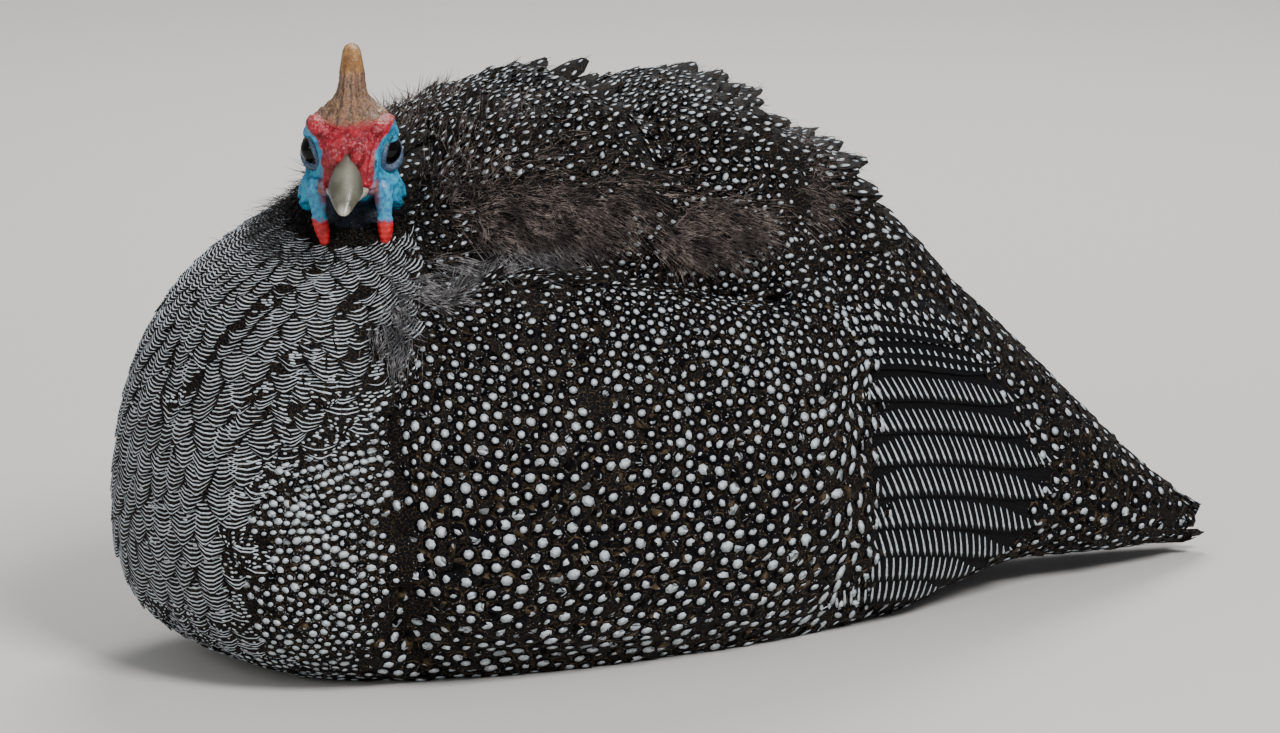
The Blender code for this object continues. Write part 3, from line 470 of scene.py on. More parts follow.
# %% Lobes, folds and grooves
RUFFLE = [
    (-0.088, 0.0000), (-0.072, 0.0050), (-0.056, 0.0105), (-0.043, 0.0160), (-0.028, 0.0175),
    (-0.014, 0.0180), (-0.003, 0.0205), (0.005, 0.0160), (0.011, 0.0075), (0.018, 0.0085),
    (0.030, 0.0150), (0.043, 0.0200), (0.058, 0.0215), (0.067, 0.0160), (0.075, 0.0070),
    (0.082, 0.0095), (0.092, 0.0130), (0.101, 0.0120), (0.109, 0.0060), (0.117, 0.0035),
    (0.131, 0.0045), (0.146, 0.0025), (0.157, 0.0000),
]
RUFFLE_FULL = math.radians(16)
RUFFLE_GONE = math.radians(50)
RUFFLE_SWEEP = 0.014
FOLDS = [
    (0.0042, 0.0085, [(0.057, -0.095, 0.137), (0.073, -0.102, 0.105), (0.083, -0.104, 0.072),
                      (0.076, -0.094, 0.028), (0.066, -0.088, 0.010)], True),
    (0.0085, 0.0072, [(0.066, -0.090, 0.133), (0.061, -0.069, 0.146), (0.062, -0.053, 0.150),
                      (0.066, -0.031, 0.150), (0.069, -0.013, 0.146), (0.071, 0.022, 0.137),
                      (0.069, 0.048, 0.130), (0.063, 0.081, 0.121)], True),
    (0.0026, 0.0050, [(0.048, -0.092, 0.146), (0.053, -0.114, 0.128), (0.046, -0.138, 0.108),
                      (0.021, -0.156, 0.077)], False),
    (0.0022, 0.0045, [(0.037, -0.100, 0.150), (0.031, -0.126, 0.136), (0.020, -0.148, 0.112),
                      (-0.001, -0.157, 0.084)], False),
    (0.0022, 0.0045, [(0.055, -0.098, 0.137), (0.063, -0.116, 0.112), (0.056, -0.135, 0.095),
                      (0.045, -0.149, 0.070)], False),
]


def near_line(points, line):
    """The distance of each point from a bent line, and how far along the line it lies."""
    line = np.array(line)
    best = np.full(len(points), 9.0)
    share = np.zeros(len(points))
    for k in range(len(line) - 1):
        span = line[k + 1] - line[k]
        t = np.clip(((points - line[k]) @ span) / (span @ span), 0.0, 1.0)
        distance = apart(points - line[k], t[:, None] * span)
        closer = distance < best
        best = np.where(closer, distance, best)
        share = np.where(closer, (k + t) / (len(line) - 1), share)
    return best, share


def folds_by(points):
    """Each fold on each side that has it: its depth and width, and where the points are by it."""
    for depth, wide, line, mirrored in FOLDS:
        for side in (1, -1) if mirrored else (1,):
            yield depth, wide, *near_line(points * np.array((side, 1.0, 1.0)), line)


def shape_form(thing):
    points, normals = points_of(thing), normals_of(thing)
    off_top = np.abs(np.arctan2(points[:, 0], points[:, 2] - UNROLL_HEIGHT))
    y = points[:, 1] - RUFFLE_SWEEP * (off_top / RUFFLE_GONE) ** 2
    height = np.interp(y, *np.array(RUFFLE).T) * (1 - ramp(off_top, RUFFLE_FULL, RUFFLE_GONE))
    moved = normals * height[:, None]
    for depth, wide, distance, share in folds_by(points):
        fade = ramp(share, 0.0, 0.12) * (1 - ramp(share, 0.80, 1.0))
        dent = depth * np.exp(-(distance / wide) ** 2) * fade
        moved -= normals * dent[:, None]
    move_points(thing, points + moved)


shape_form(form)


def rough(points, scale):
    """Fine noise from -1 to 1 at many points."""
    return np.array([noise.noise(Vector(p)) for p in (points * scale).tolist()])


# %% A form that points can be dropped on
class Ground:
    """The surface of a mesh of triangles, to settle points on and to cast rays at."""

    def __init__(self, points, faces):
        self.points = points
        self.faces = faces
        corners = points[faces]
        normal = np.cross(corners[:, 1] - corners[:, 0], corners[:, 2] - corners[:, 0])
        self.areas = np.linalg.norm(normal, axis=1) / 2
        smooth = np.zeros_like(points)
        for k in range(3):
            np.add.at(smooth, faces[:, k], normal)
        self.normals = unit(smooth)
        self.tree = BVHTree.FromPolygons(points.tolist(), faces.tolist())

    def smooth_normals(self, places, at):
        corners = self.points[self.faces[at]]
        total = np.zeros_like(places)
        for k in range(3):
            left = corners[:, (k + 1) % 3] - places
            right = corners[:, (k + 2) % 3] - places
            share = np.linalg.norm(np.cross(left, right), axis=1)
            total += share[:, None] * self.normals[self.faces[at, k]]
        return unit(total)

    def settle(self, places):
        """The nearest place of the surface to each point, with the way it faces there."""
        found = np.empty_like(places)
        at = np.empty(len(places), dtype=np.int64)
        for i, place in enumerate(places.tolist()):
            where, _, index, _ = self.tree.find_nearest(place)
            found[i] = where
            at[i] = index
        return found, self.smooth_normals(found, at)

    def drop(self, places, normals, reach):
        """Where rays from outside, down the normals, first meet the surface."""
        starts = places + normals * reach
        hits = places.copy()
        seen = np.zeros(len(places), dtype=bool)
        for i, (start, down) in enumerate(zip(starts.tolist(), (-normals).tolist())):
            where, _, _, _ = self.tree.ray_cast(start, down, 2 * reach)
            if where is not None:
                hits[i] = where
                seen[i] = True
        return hits, seen


ground = Ground(*arrays_of(form))
print(f"its surface is {ground.areas.sum() * 1e4:.0f} square centimetres")

# %% [markdown]
# ## Which way the feathers lie
#
# Plumage flows like water from the neck: down over the breast, back along the flanks, and over
# the back to the tail. One rule gives the direction anywhere, and the same rule later turns the
# dots and the bars.

# %% The lie of the coat
COLLAR = np.array((0.004, -0.084, 0.166))


def lie_of(places, normals):
    """The direction along the surface in which a feather at each place points."""
    from_collar = unit(places - COLLAR)
    backwards = np.zeros_like(places)
    backwards[:, 1] = 1.0
    backwards[:, 2] = -0.16 * ramp(places[:, 1], 0.00, 0.14) * ramp(places[:, 2], 0.02, 0.10)
    share = ramp(places[:, 1], -0.115, -0.045)
    mantle = ramp(places[:, 1], -0.085, -0.050) * ramp(places[:, 2], 0.125, 0.150)
    share = np.maximum(share, mantle)[:, None]
    flow = from_collar * (1 - share) + backwards * share
    flow -= normals * np.sum(flow * normals, axis=1, keepdims=True)
    return unit(flow)


# %% [markdown]
# ## Spreading roots evenly
#
# Feathers grow in even rows, a fixed distance apart, never on top of each other. Random places
# would leave clumps and gaps. So as many points as the area needs are thrown at random, and then
# pushed apart, round after round, until each has its own room.

# %% Throw points on the form and push them apart
NEIGHBOURS = 10
HEXAGONAL = 0.866
FILL = 0.94
FULL_ROOM = 1.12
PUSH = 0.32


def tree_of(places):
    """A search tree of places, to find the nearest ones in."""
    tree = KDTree(len(places))
    for i, place in enumerate(places.tolist()):
        tree.insert(place, i)
    tree.balance()
    return tree


def spread(keep, pitches, rounds=26):
    """Evenly spread places where keep() allows, with a pitch along and across the lie at each."""
    middle = ground.points[ground.faces].mean(axis=1)
    along, across = pitches(middle)
    wanted = ground.areas * keep(middle) / (along * across * HEXAGONAL) * FILL
    count = int(wanted.sum())
    chosen = dice.choice(len(wanted), size=count, p=wanted / wanted.sum())
    corners = ground.points[ground.faces[chosen]]
    shares = dice.dirichlet((1, 1, 1), size=count)
    places = (corners * shares[:, :, None]).sum(axis=1)
    places, normals = ground.settle(places)
    for _ in range(rounds):
        flow = lie_of(places, normals)
        side = np.cross(normals, flow)
        along, across = pitches(places)
        tree = tree_of(places)
        near = np.empty((count, NEIGHBOURS), dtype=np.int64)
        for i, place in enumerate(places.tolist()):
            found = [index for _, index, _ in tree.find_n(place, NEIGHBOURS + 1) if index != i]
            near[i] = found[:NEIGHBOURS]
        gap = places[:, None] - places[near]
        u = np.einsum("nkc,nc->nk", gap, flow) / along[:, None]
        v = np.einsum("nkc,nc->nk", gap, side) / across[:, None]
        distance = np.sqrt(u**2 + v**2) + 1e-6
        push = np.clip(FULL_ROOM - distance, 0.0, None) * PUSH
        move_u = (push * u / distance).sum(axis=1) * along
        move_v = (push * v / distance).sum(axis=1) * across
        places = places + flow * move_u[:, None] + side * move_v[:, None]
        places, normals = ground.settle(places)
    kept = keep(places) > 0
    return places[kept], normals[kept]

# %% [markdown]
# ## One feather, many times
#
# A body feather is a thin rounded plate that hugs the body: its root is sunk among the others and
# its tip lies on the next rows. All the feathers of a region are bent out of one pattern grid at
# once. The upper side has a fine grid, the under side only a few faces, and both share the rim,
# so every feather is a closed solid.

# %% The pattern of a vane, and how it is laid
ROWS = np.array((0.0, 0.22, 0.44, 0.64, 0.80, 0.92, 1.0))
COLUMNS = np.array((-1.0, -0.5, 0.0, 0.5, 1.0))
ROUND_SHAPE = np.array((0.50, 0.78, 0.96, 1.00, 0.90, 0.64, 0.26))
SHARP_FROM = 70


def vane_faces(rows, columns):
    """Triangles of one closed vane: the upper grid, a coarse under side and both ends."""
    faces = []
    for r in range(rows - 1):
        for c in range(columns - 1):
            here = r * columns + c
            ahead = here + columns
            faces += [(here, here + 1, ahead + 1), (here, ahead + 1, ahead)]
        left = r * columns
        right = left + columns - 1
        faces += [(left, left + columns, right + columns), (left, right + columns, right)]
    last = (rows - 1) * columns
    for c in range(1, columns - 1):
        faces.append((0, c + 1, c))
        faces.append((last, last + c, last + c + 1))
    return np.array(faces)


def repeated(faces, corners, count):
    """The same faces for many copies of a pattern, one after the other."""
    shift = np.arange(count)[:, None, None] * corners
    return (faces[None] + shift).reshape(-1, 3)


def vane_maps(roots, lengths, widths, rows=ROWS, columns=COLUMNS):
    """A map in millimetres along the vane, and the bake map's small patch at the root."""
    count = len(roots)
    u = np.repeat(rows, len(columns))
    v = np.tile(columns, len(rows))
    spot = dice.random(count) * 7
    barbs = np.stack([
        lengths[:, None] * u * 1000 + spot[:, None] * 10,
        widths[:, None] * v * 500 + spot[:, None] * 3,
    ], axis=2)
    patch = np.stack([v * 0.5, u], axis=1) * BAKE_PATCH
    baked = unrolled(roots)[:, None] + patch[None]
    return {"Barbs": barbs.reshape(-1, 2), "OFBake": np.clip(baked, 0.0, 1.0).reshape(-1, 2)}


VANE_TURN = 0.09
VANE_ROLL = 0.05
VANE_CAMBER = 0.035
TIP_CURVE = 0.07


def body_feathers(name, roots, normals, lengths, widths, sink, lift, material):
    """A piece of many vanes that lie along the form, with tips lifted off it."""
    count = len(roots)
    flow = lie_of(roots, normals)
    side = np.cross(normals, flow)
    flow, side = turned(flow, side, dice.normal(0, VANE_TURN, count))
    roll = dice.normal(0, VANE_ROLL, count)
    grid = np.empty((count, len(ROWS), len(COLUMNS), 3))
    for r, u in enumerate(ROWS):
        for c, v in enumerate(COLUMNS):
            reach = u - TIP_CURVE * (v * v) * (u > 0.5)
            across = widths * ROUND_SHAPE[r] * v / 2
            grid[:, r, c] = roots + flow * (lengths * reach)[:, None] + side * across[:, None]
    settled, faced = ground.settle(grid.reshape(-1, 3))
    u = np.tile(np.repeat(ROWS, len(COLUMNS)), count)
    v = np.tile(np.tile(COLUMNS, len(ROWS)), count)
    many = len(ROWS) * len(COLUMNS)
    rise = -np.repeat(sink, many) + np.repeat(sink + lift, many) * u**0.85
    rise += np.repeat(widths, many) * (VANE_CAMBER * (1 - v * v) + np.repeat(roll, many) * v / 2)
    faces = repeated(vane_faces(len(ROWS), len(COLUMNS)), many, count)
    maps = vane_maps(roots, lengths, widths)
    return piece_from(name, settled + faced * rise[:, None], faces, material, maps, SHARP_FROM)


# %% The finish of a dark vane: barbs, a fine golden net, and a soft sheen
def plumage(name, base, net, net_share):
    finish = Finish(name, {"Roughness": 0.62, "Specular IOR Level": 0.07})
    along_vane = finish.add("ShaderNodeUVMap", {"uv_map": "Barbs"})
    barbs = finish.noise(finish.stretched(along_vane, (0.35, 3.2, 1.0)), 1.0, 2.0)
    cells = finish.add(
        "ShaderNodeTexVoronoi",
        {"feature": "DISTANCE_TO_EDGE", "voronoi_dimensions": "2D"},
        {"Vector": along_vane, "Scale": 0.62, "Randomness": 0.9},
    )
    lines = 1 - cells.above(0.02, 0.09)
    broken = finish.noise(along_vane, 0.9, 3.0).above(0.42, 0.60)
    patchy = finish.noise(finish.place(), 45.0, 2.0).above(0.30, 0.70)
    tinted = finish.blend(patchy * 0.5, base, tuple(1.5 * v for v in base))
    colour = finish.blend(lines * broken * net_share, tinted, net)
    finish.paint(colour, 0.50 + 0.25 * barbs, barbs, 0.00025)
    return finish.material


NEAR_BLACK = (0.0026, 0.0025, 0.0033)
GOLDEN = (0.16, 0.105, 0.052)
spotted_vane = plumage("spotted_vane", NEAR_BLACK, GOLDEN, 0.45)
dark_vane = plumage("dark_vane", (0.0022, 0.0022, 0.0030), (0.06, 0.05, 0.04), 0.20)

# %% [markdown]
# ## The body's own feathers
#
# Feathers are small and dense by the neck, and longer towards the tail. Each region is a piece of
# its own, so that none gets too heavy: breast, two flanks, back and belly.

# %% Lay the body's feathers
HEAD_AT = np.array((0.0214, -0.0888, 0.1848))
SHORTEST_GAP = 0.0048
LONGEST_GAP = 0.0105
BARE_RADIUS = 0.0285
# Under the chin the coat keeps no marks this far from the head: partly the collar's own black,
# partly painted shade.
THROAT_BLACK_AND_SHADE = 0.0365
BAND_START = 0.088
BREAST_EDGE = -0.103


def feather_gap(places):
    away = apart(places, COLLAR)
    gap = SHORTEST_GAP + (LONGEST_GAP - SHORTEST_GAP) * ramp(away, 0.02, 0.11)
    under = 1 + 0.35 * (1 - ramp(places[:, 2], 0.004, 0.03))
    return gap * 0.92 * under, gap * 1.12 * under


def breast_share(places):
    """1 on the breast and the collar, 0 behind them. The edge leans back at the top."""
    edge = BREAST_EDGE + 0.026 * ramp(places[:, 2], 0.09, 0.16)
    edge = edge - 0.03 * ramp(places[:, 2], 0.168, 0.180)
    return 1 - ramp(places[:, 1], edge - 0.003, edge + 0.003)


def banded(places, margin=0.0):
    """Where the long bands of the folded wing show."""
    y, z = places[:, 1], places[:, 2]
    top = 0.119 - 0.27 * (y - BAND_START) - 2.2 * np.clip(y - BAND_START - 0.05, 0, None) ** 1.5
    rear = 0.188 - 14.0 * (z - 0.046) ** 2
    start = BAND_START + 0.010 * rough(places, 55.0)
    inside = (y > start + margin) & (y < rear - margin)
    return inside & (z > 0.008 + margin) & (z < top - margin)


def coated(places):
    """Where the body's own feathers root: not on the bare neck, the bands or the tail."""
    feathered = apart(places, HEAD_AT) > BARE_RADIUS
    under_band = banded(places + np.array((0.0, 0.018, 0.0)), 0.004)
    return (feathered & ~under_band & (places[:, 1] < 0.252)).astype(float)


roots, facing = spread(coated, feather_gap)
roots = roots - lie_of(roots, facing) * 0.004
roots, facing = ground.settle(roots)
gaps = feather_gap(roots)[0]
print(f"{len(roots)} body feathers")

lengths = gaps * 2.75 * (1 + dice.uniform(-0.07, 0.07, len(roots)))
widths = gaps * 1.95 * (1 + dice.uniform(-0.06, 0.06, len(roots)))
sink = np.full(len(roots), 0.0022) * np.clip(gaps / LONGEST_GAP, 0.55, 1.0)
lift = np.full(len(roots), 0.0003) + dice.uniform(-0.0002, 0.0002, len(roots))
ruffled = ramp(roots[:, 1], -0.08, -0.05) * ramp(roots[:, 2], 0.140, 0.165)
ruffled *= 1 - ramp(roots[:, 1], 0.10, 0.15)
lift += 0.0030 * ruffled

on_breast = breast_share(roots) > 0.5
REGIONS = {
    "breast_feathers": on_breast,
    "back_feathers": ~on_breast & (roots[:, 2] > 0.120),
    "belly_feathers": ~on_breast & (roots[:, 2] < 0.012),
}
in_other = np.logical_or.reduce(list(REGIONS.values()))
REGIONS["flank_feathers_left"] = ~in_other & (roots[:, 0] > 0)
REGIONS["flank_feathers_right"] = ~in_other & (roots[:, 0] <= 0)
coats = {}
for name, here in REGIONS.items():
    coats[name] = body_feathers(
        name, roots[here], facing[here], lengths[here], widths[here], sink[here], lift[here],
        spotted_vane,
    )
    belongs(coats[name], "spotted_feathers", "torso")

# %% [markdown]
# ## The long feathers of the wing
#
# The small coverts of the wing end in an uneven edge, two thirds of the way back. From under them
# come the secondaries, ten long bands, each overlapping the one below it. They curve down and
# meet by the tail. Their places are given on the flank, as a distance along and a height.

# %% Long vanes laid along a path on the flank
LONG_ROWS = np.linspace(0, 1, 15)
WIDE_COLUMNS = np.linspace(-1, 1, 7)
BLADE_WIDTHS = [(0, 0.62), (0.2, 0.9), (0.5, 1.0), (0.8, 0.93), (0.92, 0.70), (1, 0.16)]
BLADE = through(BLADE_WIDTHS, LONG_ROWS)[:, 0]


def flank_point(y, z, side):
    """A place on the bird's flank."""
    return np.stack([side * half_width(y, z), y, z], axis=-1)


class LongVane:
    """A long feather whose vane can be asked for any of its points, for its marks to lie on."""

    CAMBER = 0.05

    def __init__(self, ground_at, start, finish, bow, width, lifts, roll):
        self.ground_at = ground_at
        self.start = np.array(start)
        self.finish = np.array(finish)
        self.bow = bow
        self.width = width
        self.lifts = lifts
        self.roll = roll
        self.length = np.linalg.norm(self.finish - self.start)

    def middle(self, u):
        path = self.start + (self.finish - self.start) * np.asarray(u)[:, None]
        path[:, 1] += self.bow * np.sin(math.pi * np.asarray(u))
        lift = self.lifts[0] + (self.lifts[1] - self.lifts[0]) * np.clip(u, 0.0, 1.0)
        return self.ground_at(path[:, 0], path[:, 1], lift)

    def point(self, u, v, raised=0.0):
        """u runs from root to tip, v from one edge (-1) to the other (1)."""
        u = np.asarray(u, dtype=float)
        v = np.asarray(v, dtype=float)
        step = 0.004
        here, normal = self.middle(u)
        ahead, _ = self.middle(np.clip(u + step, 0, 1 + step))
        behind, _ = self.middle(u - step)
        along = unit(ahead - behind)
        side = unit(np.cross(along, normal))
        up = np.cross(side, along)
        half = self.width / 2 * np.interp(u, LONG_ROWS, BLADE)
        rise = self.CAMBER * self.width * (1 - v * v) + np.sin(self.roll) * half * v + raised
        return here + side * (half * v * np.cos(self.roll))[:, None] + up * rise[:, None]

    def grid(self):
        u = np.repeat(LONG_ROWS, len(WIDE_COLUMNS))
        v = np.tile(WIDE_COLUMNS, len(LONG_ROWS))
        return self.point(u - 0.03 * v * v * (u > 0.8), v)


def long_piece(name, vanes, material):
    """Many long vanes as one piece."""
    points = np.concatenate([vane.grid() for vane in vanes])
    count = len(LONG_ROWS) * len(WIDE_COLUMNS)
    faces = repeated(vane_faces(len(LONG_ROWS), len(WIDE_COLUMNS)), count, len(vanes))
    starts = points[::count]
    lengths, widths = np.array([(vane.length, vane.width) for vane in vanes]).T
    maps = vane_maps(starts, lengths, widths, LONG_ROWS, WIDE_COLUMNS)
    return piece_from(name, points, faces, material, maps, SHARP_FROM)


def on_flank(side):
    def at(y, z, lift):
        normal = side_normal(y, z, side)
        return flank_point(y, z, side) + normal * lift[:, None], normal
    return at


def side_normal(y, z, side):
    step = 0.001
    here = flank_point(y, z, side)
    ahead = flank_point(y + step, z, side) - here
    above = flank_point(y, z + step, side) - here
    return unit(np.cross(ahead, above)) * side


# %% Secondaries on both flanks
SECONDARIES = 10
SECONDARY_ROOT_Y = 0.055
SECONDARY_TOP = 0.119
SECONDARY_LOW = 0.016
SECONDARY_WIDTH = 0.0205
WING_TIPS = [
    (0.00, 0.152, 0.100),
    (0.25, 0.180, 0.073),
    (0.50, 0.195, 0.046),
    (0.75, 0.180, 0.023),
    (1.00, 0.140, 0.012),
]
WING_BOW = 0.006
WING_LIFTS = (-0.0016, 0.0022)
WING_ROLL = math.radians(7.0)
SIDES = ((1, "left"), (-1, "right"))
wings = {}
for side, word in SIDES:
    wings[word] = []
    for f in np.linspace(0, 1, SECONDARIES):
        root = (SECONDARY_ROOT_Y, SECONDARY_TOP + (SECONDARY_LOW - SECONDARY_TOP) * f)
        wings[word].append(LongVane(
            on_flank(side), root, through(WING_TIPS, [f])[0], WING_BOW, SECONDARY_WIDTH,
            WING_LIFTS, side * WING_ROLL,
        ))
    coats["wing_" + word] = long_piece("wing_feathers_" + word, wings[word], dark_vane)
    belongs(coats["wing_" + word], "barred_feathers", "wing_" + word)

# %% [markdown]
# ## The tail
#
# A guinea fowl's tail is short and droops. Its feathers lie over the end of the body in a fan,
# the middle one on top, and the rump's feathers cover their roots.

# %% Tail feathers round the end of the body
TAIL_ROOT = 0.185
TAIL_WIDTH = 0.0165
TAIL_ANGLES = (90, 74, 58, 42, 26, 10, -6)
TAIL_END = 0.285
TAIL_ROLL = math.radians(7)


def on_rump(y, degrees, lift):
    """A place on the rump at an angle round it, with the way it faces."""
    a = np.radians(degrees)
    here = body_at(y, a)
    ahead = body_at(y + 0.001, a) - here
    round_it = body_at(y, a + 0.01) - here
    normal = unit(np.cross(round_it, ahead))
    outward = np.stack([np.cos(a), np.zeros_like(a), np.sin(a)], axis=1)
    normal = normal * np.sign(np.sum(normal * outward, axis=1))[:, None]
    return here + normal * lift[:, None], normal


rectrices = []
for angle in TAIL_ANGLES:
    for side in (1, -1) if angle != 90 else (0,):
        off = side * (90 - angle)
        share = (90 - angle) / 96
        tip = TAIL_END - 0.010 * share
        sunk = -0.0012 - 0.0022 * share
        vane = LongVane(
            on_rump, (TAIL_ROOT, 90 - off), (tip, 90 - off * 0.82), 0.0, TAIL_WIDTH,
            (-0.0030, sunk), side * TAIL_ROLL,
        )
        vane.length = tip - TAIL_ROOT
        rectrices.append(vane)
coats["tail"] = long_piece("tail_feathers", rectrices, dark_vane)
belongs(coats["tail"], "barred_feathers", "tail")

# %% [markdown]
# ## Dots and bars
#
# Each mark is a thin lens of pale barbs that lies on the feathers. Where a dot meets the edge of
# the next feather it dips under it, as a printed dot would. The dots of the flanks are spread
# evenly and dropped on the vanes. The bars of the breast and wing follow the vane they are on.

# %% Patterns of marks: a dot, a bar and a club
def dome(rim):
    """The corners and faces of a low dome with so many corners round its rim."""
    corners = [(math.cos(t), math.sin(t), 0.0) for t in np.arange(rim) * 2 * math.pi / rim]
    faces = [(k, (k + 1) % rim, rim) for k in range(rim)]
    faces += [(0, k + 1, k) for k in range(1, rim - 1)]
    return np.array(corners + [(0.0, 0.0, 1.0)]), np.array(faces)


def ridge(*stations):
    """A low ridge with pointed ends: three corners at each station between its two tips."""
    corners = [(-1.0, 0.0, 0.0)]
    for s, thick in stations:
        corners += [(s, thick, 0.0), (s, -thick, 0.0), (s, 0.0, 1.0)]
    faces = [(0, 1, 2), (0, 3, 1), (0, 2, 3)]
    for k in range(len(stations) - 1):
        a = 1 + 3 * k
        b = a + 3
        for first, second in ((0, 2), (2, 1), (1, 0)):
            faces += [
                (a + first, a + second, b + second),
                (a + first, b + second, b + first),
            ]
    a = len(corners) - 3
    tip = a + 3
    faces += [(a, tip, a + 1), (a + 2, tip, a), (a + 1, tip, a + 2)]
    return np.array(corners + [(1.0, 0.0, 0.0)]), np.array(faces)


DOT = dome(7)
BAR = ridge((-0.75, 0.8), (-0.25, 1.0), (0.25, 1.0), (0.75, 0.8))
CLUB = ridge((-0.75, 0.50), (0.0, 0.72), (0.60, 1.0))
MARK_RISE = 0.00012
MARK_DOME = 0.00010
DEEPEST_DIP = 0.00035
DROP_FROM = 0.012


def mark_maps(places, corners, count):
    """Every corner of a mark has the same small patch, at the place of the mark."""
    pattern = np.tile(np.array([(0.2, 0.2), (0.8, 0.2), (0.5, 0.8)]), (corners // 3 + 1, 1))
    baked = unrolled(places)[:, None] + pattern[None, :corners] * BAKE_PATCH
    return {"OFBake": np.clip(baked, 0.0, 1.0).reshape(-1, 2)}


def dropped_marks(name, shape, places, normals, turns, lengths, widths, material,
                  rise=MARK_RISE, swell=MARK_DOME):
    """Marks laid on the coat of feathers, each turned by its own angle from the lie."""
    pattern, faces = shape
    flow = lie_of(places, normals)
    flow, side = turned(flow, np.cross(normals, flow), turns)
    middle, seen = plumage_surface.drop(places, normals, DROP_FROM)
    middle, normals, flow, side = middle[seen], normals[seen], flow[seen], side[seen]
    lengths, widths = lengths[seen], widths[seen]
    count, corners = len(middle), len(pattern)
    along = flow[:, None] * (pattern[:, 0] * lengths[:, None] / 2)[..., None]
    across = side[:, None] * (pattern[:, 1] * widths[:, None] / 2)[..., None]
    flat = (middle[:, None] + along + across).reshape(-1, 3)
    facing = np.repeat(normals, corners, axis=0)
    hits, _ = plumage_surface.drop(flat, facing, 0.004)
    dip = np.sum((hits - flat) * facing, axis=1)
    dip = np.clip(dip, -DEEPEST_DIP, DEEPEST_DIP)
    raised = dip + rise + swell * np.tile(pattern[:, 2], count)
    points = flat + facing * raised[:, None]
    return piece_from(
        name, points, repeated(faces, corners, count), material,
        mark_maps(middle, corners, count),
    )


def on_vanes(grid, which, u, v, rise):
    """Points on vanes of a set, from root to tip (u) and edge to edge (v)."""
    u = np.clip(u, 0.0, 0.9999)
    v = np.clip(v, -0.9999, 0.9999)
    r = np.clip(np.searchsorted(ROWS, u, "right") - 1, 0, len(ROWS) - 2)
    c = np.clip(np.searchsorted(COLUMNS, v, "right") - 1, 0, len(COLUMNS) - 2)
    fu = ((u - ROWS[r]) / (ROWS[r + 1] - ROWS[r]))[:, None]
    fv = ((v - COLUMNS[c]) / (COLUMNS[c + 1] - COLUMNS[c]))[:, None]
    a, b = grid[which, r, c], grid[which, r, c + 1]
    d, e = grid[which, r + 1, c], grid[which, r + 1, c + 1]
    flat = (a * (1 - fv) + b * fv) * (1 - fu) + (d * (1 - fv) + e * fv) * fu
    normal = unit(np.cross((d + e) - (a + b), (b + e) - (a + d)))
    return flat + normal * rise[:, None], normal


def vane_sizes(grid):
    """The length and the width of each vane of a set."""
    return apart(grid[:, -1, 2], grid[:, 0, 2]), apart(grid[:, 3, -1], grid[:, 3, 0])


def vane_marks(name, grid, shape, which, u, v, along, across, material, arch=0.0,
               both_sides=False):
    """Marks bent with the vane they are on. The shape's length runs across the vane."""
    pattern, faces = shape
    count, corners = len(which), len(pattern)
    length, width = (sizes[which] for sizes in vane_sizes(grid))
    s = pattern[None, :, 0] * across[:, None] / width[:, None]
    t = pattern[None, :, 1] * along[:, None] / length[:, None] / 2
    here_v = v[:, None] + s
    here_u = u[:, None] + t - arch * here_v**2
    rise = MARK_RISE + MARK_DOME * pattern[None, :, 2]
    rise = np.broadcast_to(rise, here_u.shape).ravel()
    index = np.repeat(which, corners)
    points, _ = on_vanes(grid, index, here_u.ravel(), here_v.ravel(), rise)
    all_faces = repeated(faces, corners, count)
    if both_sides:
        under, _ = on_vanes(grid, index, here_u.ravel(), here_v.ravel(), -rise - 0.0002)
        all_faces = np.concatenate([all_faces, all_faces[:, ::-1] + len(points)])
        points = np.concatenate([points, under])
        maps = mark_maps(np.tile(grid[which, 0, 2], (2, 1)), corners, 2 * count)
    else:
        maps = mark_maps(grid[which, 0, 2], corners, count)
    return piece_from(name, points, all_faces, material, maps)


# %% The finish of the pale marks and of the dark ring round each dot
pale_barbs = two_toned(
    "pale_barbs", (0.55, 0.3), 900.0, 2.0, (0.25, 0.75),
    (0.34, 0.38, 0.41), (0.68, 0.73, 0.76), 2600.0, 0.00005,
)
bluish_barbs = two_toned(
    "bluish_barbs", (0.5, 0.3), 900.0, 2.0, (0.25, 0.75),
    (0.28, 0.37, 0.52), (0.62, 0.70, 0.82), 2600.0, 0.00005,
)
dark_ring = two_toned(
    "dark_ring", (0.7, 0.07), 500.0, 2.0, None, (0.0030, 0.0024, 0.0038), (0.0060, 0.0048, 0.0070),
)
golden_net = two_toned(
    "golden_net", (0.6, 0.1), 260.0, 3.0, (0.40, 0.62), NEAR_BLACK, (0.090, 0.062, 0.034),
)
grey_barbs = two_toned(
    "grey_barbs", (0.6, 0.25), 300.0, 3.0, (0.35, 0.65), (0.045, 0.043, 0.045), (0.30, 0.31, 0.33),
)

# %% Dots on the flanks, the belly, the rump and the lower breast
vane_points = np.concatenate([arrays_of(coat)[0] for coat in coats.values()])
offsets = np.cumsum([0] + [len(coat.data.vertices) for coat in coats.values()])
vane_triangles = np.concatenate([
    arrays_of(coat)[1] + offset for coat, offset in zip(coats.values(), offsets)
])
plumage_surface = Ground(vane_points, vane_triangles)
DOTS_BELOW_BARS = 0.020
COVERT_REACH = 0.011


def barred(places, margin=0.0):
    """Where the breast has bars. Beside the wing, below a steep uneven edge, they are dots."""
    edge = DOTS_BELOW_BARS + 2.6 * (np.abs(places[:, 0]) - 0.040) + 0.034 * rough(places, 60.0)
    edge = np.clip(edge, 0.012, 0.122)
    return (breast_share(places) > 0.5) & (places[:, 2] > edge + margin)


